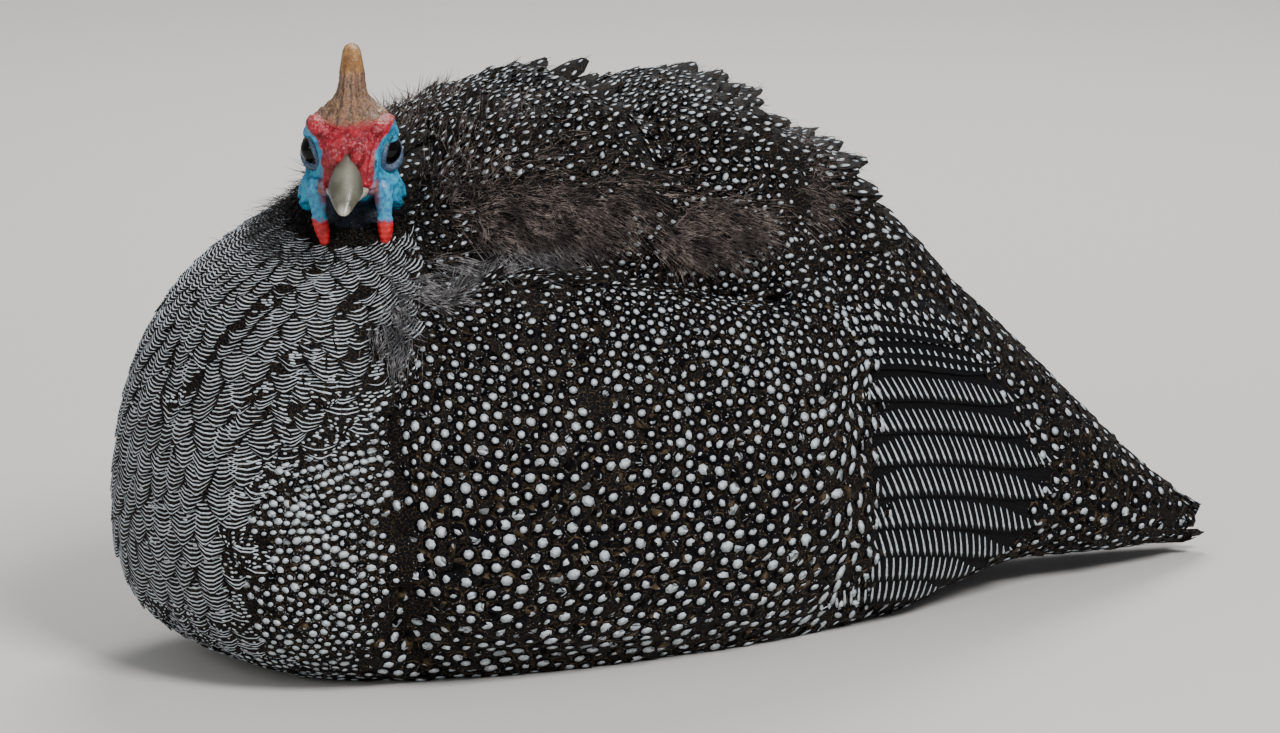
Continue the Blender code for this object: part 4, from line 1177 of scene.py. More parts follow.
def downy(places):
    """1 in the hollow over the wing, where only soft down shows."""
    y, z = places[:, 1], places[:, 2]
    wander = 0.35 * rough(places, 70.0)
    share = np.zeros(len(places))
    for at_y, at_z, long_way, high_way, _ in DOWN_PATCHES:
        away = ((y - at_y) / long_way) ** 2 + ((z - at_z) / high_way) ** 2
        share = np.maximum(share, (away + wander < 0.8).astype(float))
    return share


# the middle of each patch along the body and up, its half length, half height, and its strands
DOWN_PATCHES = [
    (-0.038, 0.164, 0.026, 0.011, 4200),
    (-0.030, 0.157, 0.026, 0.006, 2200),
    (0.028, 0.152, 0.021, 0.008, 2800),
    (0.006, 0.164, 0.012, 0.006, 1000),
    (0.079, 0.156, 0.017, 0.006, 1500),
    (-0.094, 0.129, 0.006, 0.009, 600),
    (-0.082, 0.139, 0.010, 0.005, 700),
    (-0.055, 0.146, 0.022, 0.003, 800),
]


def dot_pitch(places):
    y, z = places[:, 1], places[:, 2]
    pitch = 0.0066 - 0.0020 * ramp(z, 0.045, 0.110) - 0.0006 * ramp(z, 0.110, 0.140)
    rear = ramp(y, 0.06, 0.16) * ramp(z, 0.05, 0.11)
    pitch = pitch * (1 - rear) + 0.0068 * rear
    tail = ramp(y, 0.17, 0.20)
    pitch = pitch * (1 - tail) + 0.0066 * tail
    breast = breast_share(places)
    pitch = pitch * (1 - breast) + (0.0038 - 0.0009 * ramp(z, 0.030, 0.100)) * breast
    return pitch * 1.04, pitch * 0.96


def dotted(places):
    """Everywhere but the barred breast, the wing's bands, the bare neck, the throat's black and
    painted shade, and the groove's painted shade.
    """
    by_throat = places[:, 1] < HEAD_AT[1] + 0.006
    around = np.where(by_throat, THROAT_BLACK_AND_SHADE, BARE_RADIUS)
    bare = apart(places, HEAD_AT) < around
    reach = np.array((0.0, COVERT_REACH, 0.0))
    bands = banded(places - reach) & banded(places + reach)
    # Dots are left out along the groove's lower part: a strip of painted shade down the groove.
    groove_shade_strip = near_line(places, FOLDS[0][2])[0] < 0.0026 * (1 - ramp(places[:, 2], 0.06, 0.12))
    plain = barred(places) | bands | bare | groove_shade_strip | (downy(places) > 0.5)
    return (~plain).astype(float)


dots, dots_face = spread(dotted, dot_pitch, rounds=22)
pitch = dot_pitch(dots)[0]
print(f"{len(dots)} dots")
on_breast = breast_share(dots)
rear = ramp(dots[:, 1], 0.090, 0.130)
share = 0.49 - 0.12 * ramp(dots[:, 2], 0.105, 0.150) + 0.08 * on_breast - 0.09 * rear
size = pitch * share * (1 + 0.18 * dice.standard_normal(len(dots)).clip(-2, 2))
longer = 1.02 + 0.30 * dice.random(len(dots)) + 0.40 * ramp(dots[:, 2], 0.12, 0.15)
longer += 0.45 * on_breast * ramp(dots[:, 2], 0.030, 0.090)
turns = dice.normal(0, 0.35, len(dots)) + math.pi / 2 * (on_breast > 0.5)
# over the roots of the bands the dots draw out into slanted clubs
drawn_out = ramp(dots[:, 1], 0.055, 0.090) * (1 - rear) * (1 - ramp(dots[:, 2], 0.085, 0.110))
longer += 1.0 * drawn_out
size *= 1 - 0.22 * drawn_out
turns += drawn_out * math.radians(115) * np.sign(dots[:, 0])
halves = {"left": dots[:, 0] > 0, "right": dots[:, 0] <= 0}
for word, here in halves.items():
    for name, turn, long, wide, material, rise, swell in (
        ("golden_cells_", turns * 2, pitch * 1.06, pitch, golden_net, 0.00003, 0.0),
        ("dot_rings_", turns, pitch * 0.94, pitch * 0.88, dark_ring, 0.00007, MARK_DOME),
        ("dots_", turns, size * longer, size, pale_barbs, 0.00017, MARK_DOME),
    ):
        layer = dropped_marks(
            name + word, DOT, dots[here], dots_face[here], turn[here], long[here], wide[here],
            material, rise, swell,
        )
        belongs(layer, "spotted_feathers")

# %% Fine pale speckles between the dots
FLECK = dome(4)
FLECKS_PER_DOT = 3
flow = lie_of(dots, dots_face)
side = np.cross(dots_face, flow)
for word, here in halves.items():
    places, faced = [], []
    for _ in range(FLECKS_PER_DOT):
        a = dice.uniform(0, 2 * math.pi, here.sum())[:, None]
        away = (pitch[here] * dice.normal(0.50, 0.05, here.sum()))[:, None]
        places.append(dots[here] + (flow[here] * np.cos(a) + side[here] * np.sin(a)) * away)
        faced.append(dots_face[here])
    places, faced = np.concatenate(places), np.concatenate(faced)
    number = len(places)
    flecks = dropped_marks(
        "speckles_" + word, FLECK, places, faced, dice.normal(0, 0.8, number),
        dice.uniform(0.0004, 0.0009, number), dice.uniform(0.0003, 0.0006, number), grey_barbs,
    )
    belongs(flecks, "spotted_feathers")

# %% Bars and dashes on the breast, row after row on every vane
with_bars = [coat for name, coat in coats.items() if name.startswith(("breast", "back", "flank"))]
breast_grid = np.concatenate([
    arrays_of(coat)[0].reshape(-1, len(ROWS), len(COLUMNS), 3) for coat in with_bars
])
lengths_here, wide_here = vane_sizes(breast_grid)
BAR_PITCH = 0.00155
BAR_ROWS = 18
LAST_BAR = 0.97
FIRST_BAR = 0.08
BAR_THICK = 0.00058
BAR_ARCH = 0.09
bar_u = np.concatenate([
    LAST_BAR - (row + dice.uniform(-0.1, 0.1, len(breast_grid))) * BAR_PITCH / lengths_here
    for row in range(BAR_ROWS)
])
bar_of = np.tile(np.arange(len(breast_grid)), BAR_ROWS)
nothing = np.zeros(len(bar_u))
spots, _ = on_vanes(breast_grid, bar_of, bar_u, nothing, nothing)
# Bars keep off the throat too, left dark partly as the collar's black and partly as painted shade.
clear_of_throat = apart(spots, HEAD_AT) > THROAT_BLACK_AND_SHADE
shown = (bar_u > FIRST_BAR) & barred(spots, -0.002) & clear_of_throat
bar_u, bar_of, spots = bar_u[shown], bar_of[shown], spots[shown]
clear_of_dots = barred(spots, 0.014)
whole = dice.random(len(bar_u)) < np.where(clear_of_dots, 1.0, 0.35)
count = int(whole.sum())
bars = vane_marks(
    "breast_bars", breast_grid, BAR, bar_of[whole], bar_u[whole],
    dice.normal(0, 0.03, count), BAR_THICK * dice.uniform(0.8, 1.2, count),
    0.92 * wide_here[bar_of[whole]] * dice.uniform(0.8, 1.0, count), pale_barbs, BAR_ARCH,
)
belongs(bars, "spotted_feathers")
DASH_THICK = 0.00090
DASH_LONG = 0.00165
dash_of, dash_u, dash_v = [], [], []
for v in (-0.66, -0.22, 0.22, 0.66):
    index = bar_of[~whole]
    dash_of.append(index)
    dash_u.append(bar_u[~whole] - 0.05 * v * v + dice.normal(0, 0.014, len(index)))
    dash_v.append(v + dice.normal(0, 0.11, len(index)))
dash_of, dash_u, dash_v = (np.concatenate(part) for part in (dash_of, dash_u, dash_v))
count = len(dash_of)
dashes = vane_marks(
    "breast_dashes", breast_grid, DOT, dash_of, dash_u, dash_v,
    DASH_THICK * dice.uniform(0.8, 1.2, count), DASH_LONG * dice.uniform(0.8, 1.2, count),
    pale_barbs,
)
belongs(dashes, "spotted_feathers")

# %% Short bars where the creases of the breast have swallowed a feather's own
LONELY = 0.00112
seen_marks = []
for v in (-0.75, -0.5, -0.25, 0.0, 0.25, 0.5, 0.75):
    flat_v, no_rise = np.full(len(bar_u), v), np.zeros(len(bar_u))
    points, normals = on_vanes(breast_grid, bar_of, bar_u - BAR_ARCH * v * v, flat_v, no_rise)
    hits, seen = plumage_surface.drop(points, normals, DROP_FROM)
    seen &= apart(hits, points) < 0.0005
    seen_marks.append(points[seen])
marked = tree_of(np.concatenate(seen_marks))


def bar_room(places):
    return (barred(places) & (apart(places, HEAD_AT) > THROAT_BLACK_AND_SHADE)).astype(float)


def bar_pitch(places):
    return np.full(len(places), 0.0014), np.full(len(places), 0.0026)


spots, spots_face = spread(bar_room, bar_pitch, rounds=12)
tops, _ = plumage_surface.drop(spots, spots_face, DROP_FROM)
lonely = np.array([marked.find(place)[2] for place in tops.tolist()]) > LONELY
print(f"{int(lonely.sum())} short bars fill the gaps")
spots, spots_face, tops = spots[lonely], spots_face[lonely], tops[lonely]
flow = lie_of(spots, spots_face) * 0.0004
side = np.cross(spots_face, flow)
ahead, beside = (
    plumage_surface.drop(spots + way, spots_face, DROP_FROM)[0] for way in (flow, side)
)
spots_face = unit(unit(np.cross(ahead - tops, beside - tops)) + 0.35 * spots_face)
fill_bars = dropped_marks(
    "breast_fill_bars", BAR, tops, spots_face, math.pi / 2 + dice.normal(0, 0.12, len(tops)),
    dice.uniform(0.0018, 0.0028, len(tops)), dice.uniform(0.0006, 0.0009, len(tops)),
    pale_barbs,
)
belongs(fill_bars, "spotted_feathers")

# %% Slanted clubs along the wing's bands, and dots on the tail
def band_marks(name, vanes, down, settings, material):
    """Rows of marks across long vanes. down is 1 where a vane's v grows towards the ground."""
    points, places = [], []
    pattern, faces = CLUB
    corners = len(pattern)
    for vane, rows in zip(vanes, settings):
        for low_v, high_v, thick, slant, pitch in rows:
            u = np.arange(0.24, 0.985, pitch / vane.length)
            u = u + dice.normal(0, 0.04, len(u)) * pitch / vane.length
            taper = np.interp(u, (0.24, 0.42, 0.85, 1.0), (0.5, 1.0, 0.9, 0.45))[:, None]
            s = (1 - pattern[None, :, 0]) / 2
            span = (high_v - low_v) * taper
            v = high_v - span * s
            reach = s * span * vane.width / 2 * slant / vane.length
            swell = 1 + 0.35 * (1 - np.interp(u, (0.24, 0.5), (0, 1)))[:, None]
            t = pattern[None, :, 1] * swell * thick / 2 / vane.length
            rise = np.broadcast_to(MARK_RISE + MARK_DOME * pattern[:, 2], v.shape).ravel()
            points.append(vane.point((u[:, None] - reach + t).ravel(), down * v.ravel(), rise))
            places.append(np.repeat(vane.point(np.zeros(1), np.zeros(1)), len(u), axis=0))
    points, places = np.concatenate(points), np.concatenate(places)
    count = len(points) // corners
    faces = repeated(faces, corners, count)
    return piece_from(
        name, points, faces if down > 0 else faces[:, ::-1], material,
        mark_maps(places, corners, count),
    )


DOT_ROWS = [(0.60, 0.82, 0.0016, 0.5, 0.0041), (0.20, 0.42, 0.0016, 0.5, 0.0041),
            (-0.22, -0.02, 0.0015, 0.5, 0.0042)]
UPPER_BARS = [(0.10, 0.94, 0.0014, 0.62, 0.0036)]
MIDDLE_BARS = [(-0.10, 0.96, 0.0014, 0.58, 0.0036)]
LOWER_BARS = [(-0.20, 0.97, 0.0014, 0.34, 0.0036)]
BAND_ROWS = [DOT_ROWS] * 2 + [UPPER_BARS] * 2 + [MIDDLE_BARS] * 4 + [LOWER_BARS] * 2
for side, word in SIDES:
    clubs = band_marks("wing_bars_" + word, wings[word], side, BAND_ROWS, pale_barbs)
    belongs(clubs, "barred_feathers")

TAIL_ROWS = [(-0.68, -0.46, 0.0020, 0.1, 0.0062), (-0.10, 0.12, 0.0020, 0.1, 0.0064),
             (0.46, 0.68, 0.0020, 0.1, 0.0062)]
tail_dots = band_marks("tail_dots", rectrices, 1, [TAIL_ROWS] * len(rectrices), bluish_barbs)
belongs(tail_dots, "barred_feathers")

# %% [markdown]
# ## The raised feathers of the back
#
# On the lobes the feathers don't hug the form. Each stands straight on, so those near the rim of
# a lobe reach past it and give it a soft, shaggy edge with rounded tips.

# %% Vanes that stand straight on from the lobes
RIMS = [(-0.080, -0.002), (0.016, 0.062), (0.080, 0.104)]
RANK_PITCH = 0.0050
RAISED_PITCH = 0.0070
RAISED_LENGTH = 0.0215
RAISED_WIDTH = 0.0120
RAISED_SINK = 0.0025
RAISED_BEND = 0.10
FRINGE_PER_VANE = 14
FRINGE_THICK = 0.00016
DOWN_THICK = 0.00032
STRANDS_PER_TUFT = 14
BLUNT_SHAPE = np.array((0.50, 0.76, 0.94, 1.00, 0.98, 0.88, 0.60))


def raised_vanes():
    """The corners of every raised vane, rank after rank, and where they root."""
    starts, near_rim = [], []
    for first, rim in RIMS:
        for y in np.arange(first, rim - 0.0095, RANK_PITCH):
            half_arc = RUFFLE_GONE * 0.98
            count = int(2 * half_arc * 0.095 / RAISED_PITCH)
            share = np.linspace(-1, 1, count) + dice.normal(0, 0.35 / count, count)
            angle = half_arc * share
            along = y + RUFFLE_SWEEP * share**2 + dice.normal(0, 0.0014, count)
            high = 0.105 + 0.02 * np.cos(angle)
            starts.append(np.stack([
                high * np.sin(angle), along, UNROLL_HEIGHT + high * np.cos(angle)
            ], axis=1))
            near_rim.append(np.full(count, ramp(y, rim - 0.034, rim - 0.012)) * (1 - share**2))
    starts, near_rim = np.concatenate(starts), np.concatenate(near_rim)
    outward = unit(starts * (1, 0, 1) - np.array((0, 0, UNROLL_HEIGHT)))
    roots, seen = ground.drop(starts, outward, 0.06)
    roots, near_rim = roots[seen], near_rim[seen]
    roots, normals = ground.settle(roots)
    count = len(roots)
    flow = unit(np.array((0.0, 1.0, 0.0)) - normals * normals[:, 1:2])
    side = np.cross(normals, flow)
    splay = 0.5 * roots[:, 0] / 0.07 * near_rim + dice.normal(0, 0.16, count).clip(-0.3, 0.3)
    flow, side = turned(flow, side, -splay)
    steep = np.radians(5 + 4 * near_rim + dice.normal(0, 2.5, count).clip(-4, 4))
    lengths = RAISED_LENGTH * (1 + 0.12 * near_rim + dice.normal(0, 0.07, count))
    widths = RAISED_WIDTH * (1 + dice.normal(0, 0.07, count))
    u = ROWS[None, :, None]
    v = COLUMNS[None, None, :]
    reach = (u - 0.13 * v * v * (u > 0.5)) * lengths[:, None, None]
    bend = RAISED_BEND * u**2 * lengths[:, None, None]
    cos, sin = np.cos(steep)[:, None, None], np.sin(steep)[:, None, None]
    forth = reach * cos + bend * sin
    tilt = dice.normal(0, 0.10, count)[:, None, None]
    rise = reach * sin - bend * cos - RAISED_SINK * (1 - u)
    rise = rise + (tilt * v - 0.13 * v * v) * widths[:, None, None] / 2
    across = BLUNT_SHAPE[None, :, None] * v * widths[:, None, None] / 2
    frayed = dice.normal(0, 0.0006, forth.shape) * (u > 0.7)
    grid = roots[:, None, None] + flow[:, None, None] * (forth + frayed)[..., None]
    grid = grid + normals[:, None, None] * rise[..., None] + side[:, None, None] * across[..., None]
    return grid, roots, lengths, widths


raised_grid, raised_roots, raised_lengths, raised_wide = raised_vanes()
raised_faces = repeated(
    vane_faces(len(ROWS), len(COLUMNS)), len(ROWS) * len(COLUMNS), len(raised_roots)
)
crest = piece_from(
    "raised_feathers", raised_grid.reshape(-1, 3), raised_faces, spotted_vane,
    vane_maps(raised_roots, raised_lengths, raised_wide), SHARP_FROM,
)
belongs(crest, "spotted_feathers", "torso")

# %% Long dots in rows on the raised vanes
dot_of, dot_u, dot_v = [], [], []
every = np.arange(len(raised_grid))
for u, across in ((0.91, (0.0,)), (0.77, (-0.6, 0.6)), (0.63, (0.0,)), (0.49, (-0.6, 0.6)),
                  (0.36, (0.0,))):
    for v in across:
        dot_of.append(every)
        dot_u.append(u + dice.normal(0, 0.022, len(every)))
        dot_v.append(v + dice.normal(0, 0.07, len(every)))
dot_of, dot_u, dot_v = (np.concatenate(part) for part in (dot_of, dot_u, dot_v))
count = len(dot_of)
grown = 1 + 0.45 * ramp(raised_roots[dot_of, 1], 0.03, 0.10)
long_dots = vane_marks(
    "raised_dots", raised_grid, DOT, dot_of, dot_u, dot_v,
    0.0022 * grown * dice.uniform(0.7, 1.3, count),
    0.0015 * grown * dice.uniform(0.75, 1.25, count),
    pale_barbs, both_sides=True,
)
belongs(long_dots, "spotted_feathers")

# %% [markdown]
# ## Down between the feathers
#
# Where the raised tufts part, the soft grey-brown down under them shows, and a band of it fringes
# the top of the wing. Each strand is a thin tapered stalk with three sides.

# %% Strands of down
def strands(name, roots, directions, lengths, thick, sag, material):
    """Tapered stalks. Each has two rings of three corners, a bent middle and a point."""
    count = len(roots)
    helper = np.cross(directions, dice.normal(size=(count, 3)))
    first = unit(helper)
    second = np.cross(directions, first)
    stations = []
    for share, width in ((0.0, 1.0), (0.55, 0.8)):
        centre = roots + directions * (lengths * share)[:, None]
        centre[:, 2] -= sag * lengths * share**2
        for k in range(3):
            a = 2 * math.pi * k / 3
            ring = first * math.cos(a) + second * math.sin(a)
            stations.append(centre + ring * thick * width / 2)
    tip = roots + directions * lengths[:, None]
    tip[:, 2] -= sag * lengths
    points = np.stack(stations + [tip], axis=1).reshape(-1, 3)
    pattern = [(0, 2, 1)]
    for k in range(3):
        ahead = (k + 1) % 3
        pattern += [(k, ahead, ahead + 3), (k, ahead + 3, k + 3), (k + 3, ahead + 3, 6)]
    faces = repeated(np.array(pattern), 7, count)
    return piece_from(name, points, faces, material, mark_maps(roots, 7, count))


barb_paint = two_toned(
    "loose_barbs", (0.7, 0.2), 700.0, 2.0, (0.50, 0.75), (0.0055, 0.0050, 0.0055),
    (0.16, 0.15, 0.145),
)
down_finish = Finish("grey_brown_down", {"Roughness": 0.9, "Specular IOR Level": 0.15})
unshaded_tufts = down_finish.noise(down_finish.place(), 120.0, 2.0).above(0.40, 0.62)
tone = down_finish.noise(down_finish.place(), 420.0, 4.0, 0.7).above(0.38, 0.66)
# Outside the tufts the tone is dimmed to its darkest: painted shade between the tufts of down.
tone = tone * (0.30 + 0.70 * unshaded_tufts)
place = {"Vector": down_finish.place()}
back = down_finish.add("ShaderNodeSeparateXYZ", {}, place, out=1)
height = down_finish.add("ShaderNodeSeparateXYZ", {}, place, out=2)
over_wing = (1 - height.above(0.147, 0.153)) * (1 - back.above(-0.040, -0.015))
down_paint = down_finish.paint(down_finish.blend(
    over_wing, down_finish.blend(tone, (0.016, 0.012, 0.012), (0.34, 0.27, 0.24)),
    down_finish.blend(tone, (0.05, 0.048, 0.052), (0.52, 0.50, 0.50)),
))
for side, word in SIDES:
    down_roots, down_ways = [], []
    for y, z, long_way, high_way, number in DOWN_PATCHES:
        tufts = number // STRANDS_PER_TUFT
        a = dice.uniform(0, 2 * math.pi, tufts)
        r = np.sqrt(dice.random(tufts)) * 1.12
        tuft_y, tuft_z = y + long_way * r * np.cos(a), z + high_way * r * np.sin(a)
        tuft_way = dice.normal(0, 0.34, (tufts, 3))
        of_tuft = np.repeat(np.arange(tufts), STRANDS_PER_TUFT)
        off = dice.normal(0, 0.0016, (len(of_tuft), 2))
        places = flank_point(tuft_y[of_tuft] + off[:, 0], tuft_z[of_tuft] + off[:, 1], side)
        places, normals = ground.settle(places)
        way = lie_of(places, normals) * 0.70 + normals * 0.42 + tuft_way[of_tuft]
        way += dice.normal(0, 0.13, places.shape)
        way[:, 2] -= 0.30
        down_roots.append(places - normals * 0.001)
        down_ways.append(unit(way))
    down_roots, down_ways = np.concatenate(down_roots), np.concatenate(down_ways)
    down = strands(
        "down_" + word, down_roots, down_ways, dice.uniform(0.008, 0.018, len(down_roots)),
        DOWN_THICK, 0.15, down_paint,
    )
    belongs(down, "spotted_feathers")

# %% A fringe of loose barbs along the rims of the lobes
tip_of = np.repeat(np.arange(len(raised_grid)), FRINGE_PER_VANE)
v = dice.uniform(-0.95, 0.95, len(tip_of))
u = dice.uniform(0.72, 0.97, len(tip_of))
fringe_roots, _ = on_vanes(raised_grid, tip_of, u, v, np.zeros(len(tip_of)))
straight_on = unit(raised_grid[tip_of, -1, 2] - raised_grid[tip_of, 2, 2])
across_vane = unit(raised_grid[tip_of, 3, -1] - raised_grid[tip_of, 3, 0])
fringe_ways = unit(
    straight_on + across_vane * (0.5 * v)[:, None] + dice.normal(0, 0.22, fringe_roots.shape)
)
fringe = strands(
    "crest_fringe", fringe_roots, fringe_ways, dice.uniform(0.0018, 0.0052, len(tip_of)),
    FRINGE_THICK, 0.1, barb_paint,
)
belongs(fringe, "spotted_feathers")

# %% Hair-like feathers on the neck
HAIR_PITCH = 0.0011
HAIR_THICK = 0.00018
SCREEN_RIGHT = np.array((0.5, 0.87, 0.0))
HAIRY_FROM = 0.0215
HAIRY_TO = 0.0465


def hairy(places):
    away = apart(places, HEAD_AT)
    return ((away > HAIRY_FROM) & (away < HAIRY_TO)).astype(float)


neck_roots, neck_facing = spread(
    hairy, lambda places: (np.full(len(places), HAIR_PITCH),) * 2, rounds=3
)
flow = lie_of(neck_roots, neck_facing)
curls = unit(flow * 0.85 + neck_facing * 0.50 + dice.normal(0, 0.36, neck_roots.shape))
nape_side = ramp(-(neck_roots - HEAD_AT) @ SCREEN_RIGHT, 0.012, 0.026)
hairs = strands(
    "neck_hairs", neck_roots, curls,
    dice.uniform(0.003, 0.0065, len(neck_roots)) * (1 + 1.2 * nape_side), HAIR_THICK, 0.25,
    barb_paint,
)
belongs(hairs, "neck_skin")
# %% [markdown]
# ## The bare head
#
# A guinea fowl's head is naked. Its skin is red and warty on the forehead, blue and wrinkled round
# the eyes and on the cheeks, and nearly black under the bill, partly its own colour and partly
# painted shade. The head is worked out in a frame of its own, where it faces straight ahead
# along -Y, and turned into place at the end.

# %% The head's own frame
HEAD_YAW = math.radians(58.0)
HEAD_PITCH = math.radians(5.0)
head_turn = np.array(Matrix.Rotation(HEAD_YAW, 3, "Z") @ Matrix.Rotation(HEAD_PITCH, 3, "X"))


def on_bird(points):
    """Points of the head's own frame, in their place on the bird."""
    return np.asarray(points) @ head_turn.T + HEAD_AT


def in_head(points):
    return (np.asarray(points) - HEAD_AT) @ head_turn


def bell(*terms):
    """1 at a place and 0 away from it. Each term is a measure, its middle and its width."""
    return np.exp(-sum(((value - middle) / width) ** 2 for value, middle, width in terms))


def dressed(thing, points, material):
    """Move the points of a piece to their place on the bird, and give it its finish."""
    move_points(thing, on_bird(points))
    thing.data.materials.append(material)
    return thing


# %% Stations of the skull: place along Y, half width, height of the crown, depth of the throat
SKULL = [
    (-0.0215, 0.0066, -0.0005, -0.0135),
    (-0.0180, 0.0088, 0.0046, -0.0160),
    (-0.0130, 0.0108, 0.0088, -0.0182),
    (-0.0060, 0.0126, 0.0114, -0.0200),
    (0.0050, 0.0138, 0.0120, -0.0205),
    (0.0150, 0.0124, 0.0090, -0.0182),
    (0.0215, 0.0085, 0.0050, -0.0126),
]
SKULL_WIDEST = 0.62
EYE_AT = np.array((0.0112, -0.0020, 0.0))
EYE_RADIUS = 0.0062
EYE_TURN = math.radians(32.0)
HEAD_VOXEL = 0.00042


def squared(angles, power):
    """A cosine with fuller flanks, for sections that are rounder than an oval."""
    return np.sign(np.cos(angles)) * np.abs(np.cos(angles)) ** power


def skull_rings(places, around):
    rings = []
    angles = circle(around)
    for y in places:
        half, crown, throat = through(SKULL, [y])[0]
        middle = throat + SKULL_WIDEST * (crown - throat)
        rise = np.sin(angles)
        z = middle + np.where(rise >= 0, crown - middle, middle - throat) * rise
        rings.append(np.stack([half * squared(angles, 0.8), np.full(around, y), z], axis=1))
    return rings


def hoop(angles, across, along):
    """A level ring of points with these two half widths."""
    return np.stack([across * np.cos(angles), along * np.sin(angles), 0 * angles], axis=1)


def ball(centre, radii, turn):
    """A round lump of flesh, to be fused with the skull."""
    deselect_all()
    bpy.ops.mesh.primitive_uv_sphere_add(segments=40, ring_count=24, radius=1.0)
    thing = bpy.context.object
    bpy.ops.transform.resize(value=radii)
    bpy.ops.transform.rotate(value=turn, orient_axis="Y")
    bpy.ops.transform.translate(value=centre)
    bpy.ops.object.transform_apply(location=True, rotation=True, scale=True)
    return thing


LUMPS = [
    # brow, cheek, cheek's flap, cere, corner of the mouth, and the saddle round the casque
    ((0.0115, -0.0020, 0.0052), (0.0052, 0.0085, 0.0045), 0.0),
    ((0.0105, -0.0030, -0.0095), (0.0060, 0.0085, 0.0075), 0.0),
    ((0.0144, 0.0010, -0.0150), (0.0040, 0.0078, 0.0072), 0.22),
    ((0.0037, -0.0212, 0.0020), (0.0027, 0.0040, 0.0046), -0.22),
    ((0.0080, -0.0180, -0.0098), (0.0028, 0.0052, 0.0028), 0.35),
    ((0.0092, -0.0010, 0.0078), (0.0066, 0.0110, 0.0038), 0.20),
]

pieces = [wrapped_grid(
    "skull", skull_rings(np.linspace(-0.0215, 0.0215, 40), 72), (0, -0.0222, -0.007),
    (0, 0.0228, -0.004),
)]
for centre, radii, turn in LUMPS:
    for side in (1, -1):
        place = (side * centre[0], centre[1], centre[2])
        pieces.append(ball(place, radii, side * turn))
stub_rings = []
for t in np.linspace(0.35, 1.0, 14):
    centre = NECK_BASE + (NECK_TOP - NECK_BASE) * t
    radius = 0.0135 + 0.022 * (1 - t) ** 1.4
    stub_rings.append(in_head(centre + hoop(circle(64), radius, radius)))
pieces.append(wrapped_grid("neck_stub", stub_rings))
head = finished(
    joined(pieces),
    ("REMESH", {"mode": "VOXEL", "voxel_size": HEAD_VOXEL}),
    ("SMOOTH", {"factor": 0.5, "iterations": 7}),
)
print(f"the head has {triangles_in(head):,} triangles")

# %% [markdown]
# ## Warts, wrinkles and folds
#
# The remeshed head is smooth. Its texture is moved into it point by point: small round warts on
# the red forehead, fine wrinkles on the blue cheeks, a groove outside each bulb over the bill, the
# line of the mouth, and lobes along the lower edge of the cheek.


# %% Mark the head's regions
def cells(points, scale):
    """The distance to the middle of the nearest of many random cells."""
    return np.array([noise.voronoi(Vector(p))[0][0] for p in (points * scale).tolist()])


def regions_of(points):
    """Where the head is red, dark or fleshy, each from 0 to 1. The rest is blue."""
    x, y, z = np.abs(points[:, 0]), points[:, 1], points[:, 2]
    wobble = 0.0009 * rough(points, 300.0)
    edge = np.interp(z, (-0.012, -0.004, 0.002, 0.006, 0.011),
                     (0.0080, 0.0088, 0.0096, 0.0122, 0.0165)) + wobble
    red = 1 - ramp(x, edge - 0.0005, edge + 0.0005)
    red *= 1 - ramp(y, 0.008, 0.015)
    red *= ramp(z, -0.0125, -0.0085)
    fleshy = ramp(
        bell((x, 0.0085, 0.0040), (y, -0.0170, 0.0075), (z, -0.0100, 0.0032)), 0.25, 0.60
    )
    # Under the jaw: partly the throat's own dark slate, partly painted shade under the chin.
    dark = 1 - ramp(z + 0.25 * x + wobble, -0.0150, -0.0118)
    dark *= 1 - ramp(x, 0.0088, 0.0112)
    nape = ramp(y + 0.3 * z + wobble, 0.0125, 0.0165)
    low = 1 - ramp(z + wobble, -0.0260, -0.0215)
    return red, np.clip(dark + nape + low, 0, 1), fleshy * (1 - red)


def mark(thing, **measures):
    """Store numbers at each point of a piece, for its finish to read by their names."""
    for name, values in measures.items():
        attribute = thing.data.attributes.new(name, "FLOAT", "POINT")
        attribute.data.foreach_set("value", values.astype(np.float32))


EYE_OUT = np.array((math.cos(EYE_TURN), -math.sin(EYE_TURN), -0.14))
EYE_UP = np.array((0.0, 0.18, 1.0))


def eye_frame(side):
    """The middle of an eye, the way it looks, and the ways back and up along its lids."""
    centre = EYE_AT * (side, 1, 1)
    out = unit(EYE_OUT * (side, 1, 1))
    up = unit(EYE_UP - out * out @ EYE_UP)
    back = np.cross(up, out) * side
    return centre, out, back, up


LID_HIGH = 0.0050
LID_WIDE = 0.0043
LID_LEAN = 0.0011
WART_SCALE = 820.0


def lid_outline(angle, grow=0.0):
    """The opening of the lids: rounder below, drawn out to a point above and behind."""
    across = (LID_WIDE + grow) * np.cos(angle)
    high = (LID_HIGH + grow) * np.sin(angle)
    return across + LID_LEAN * high / LID_HIGH, high


def globe_height(p, q):
    """How far the eyeball stands out at a place back and up from its middle."""
    return np.sqrt(np.clip(EYE_RADIUS**2 - p**2 - q**2, 0, None))


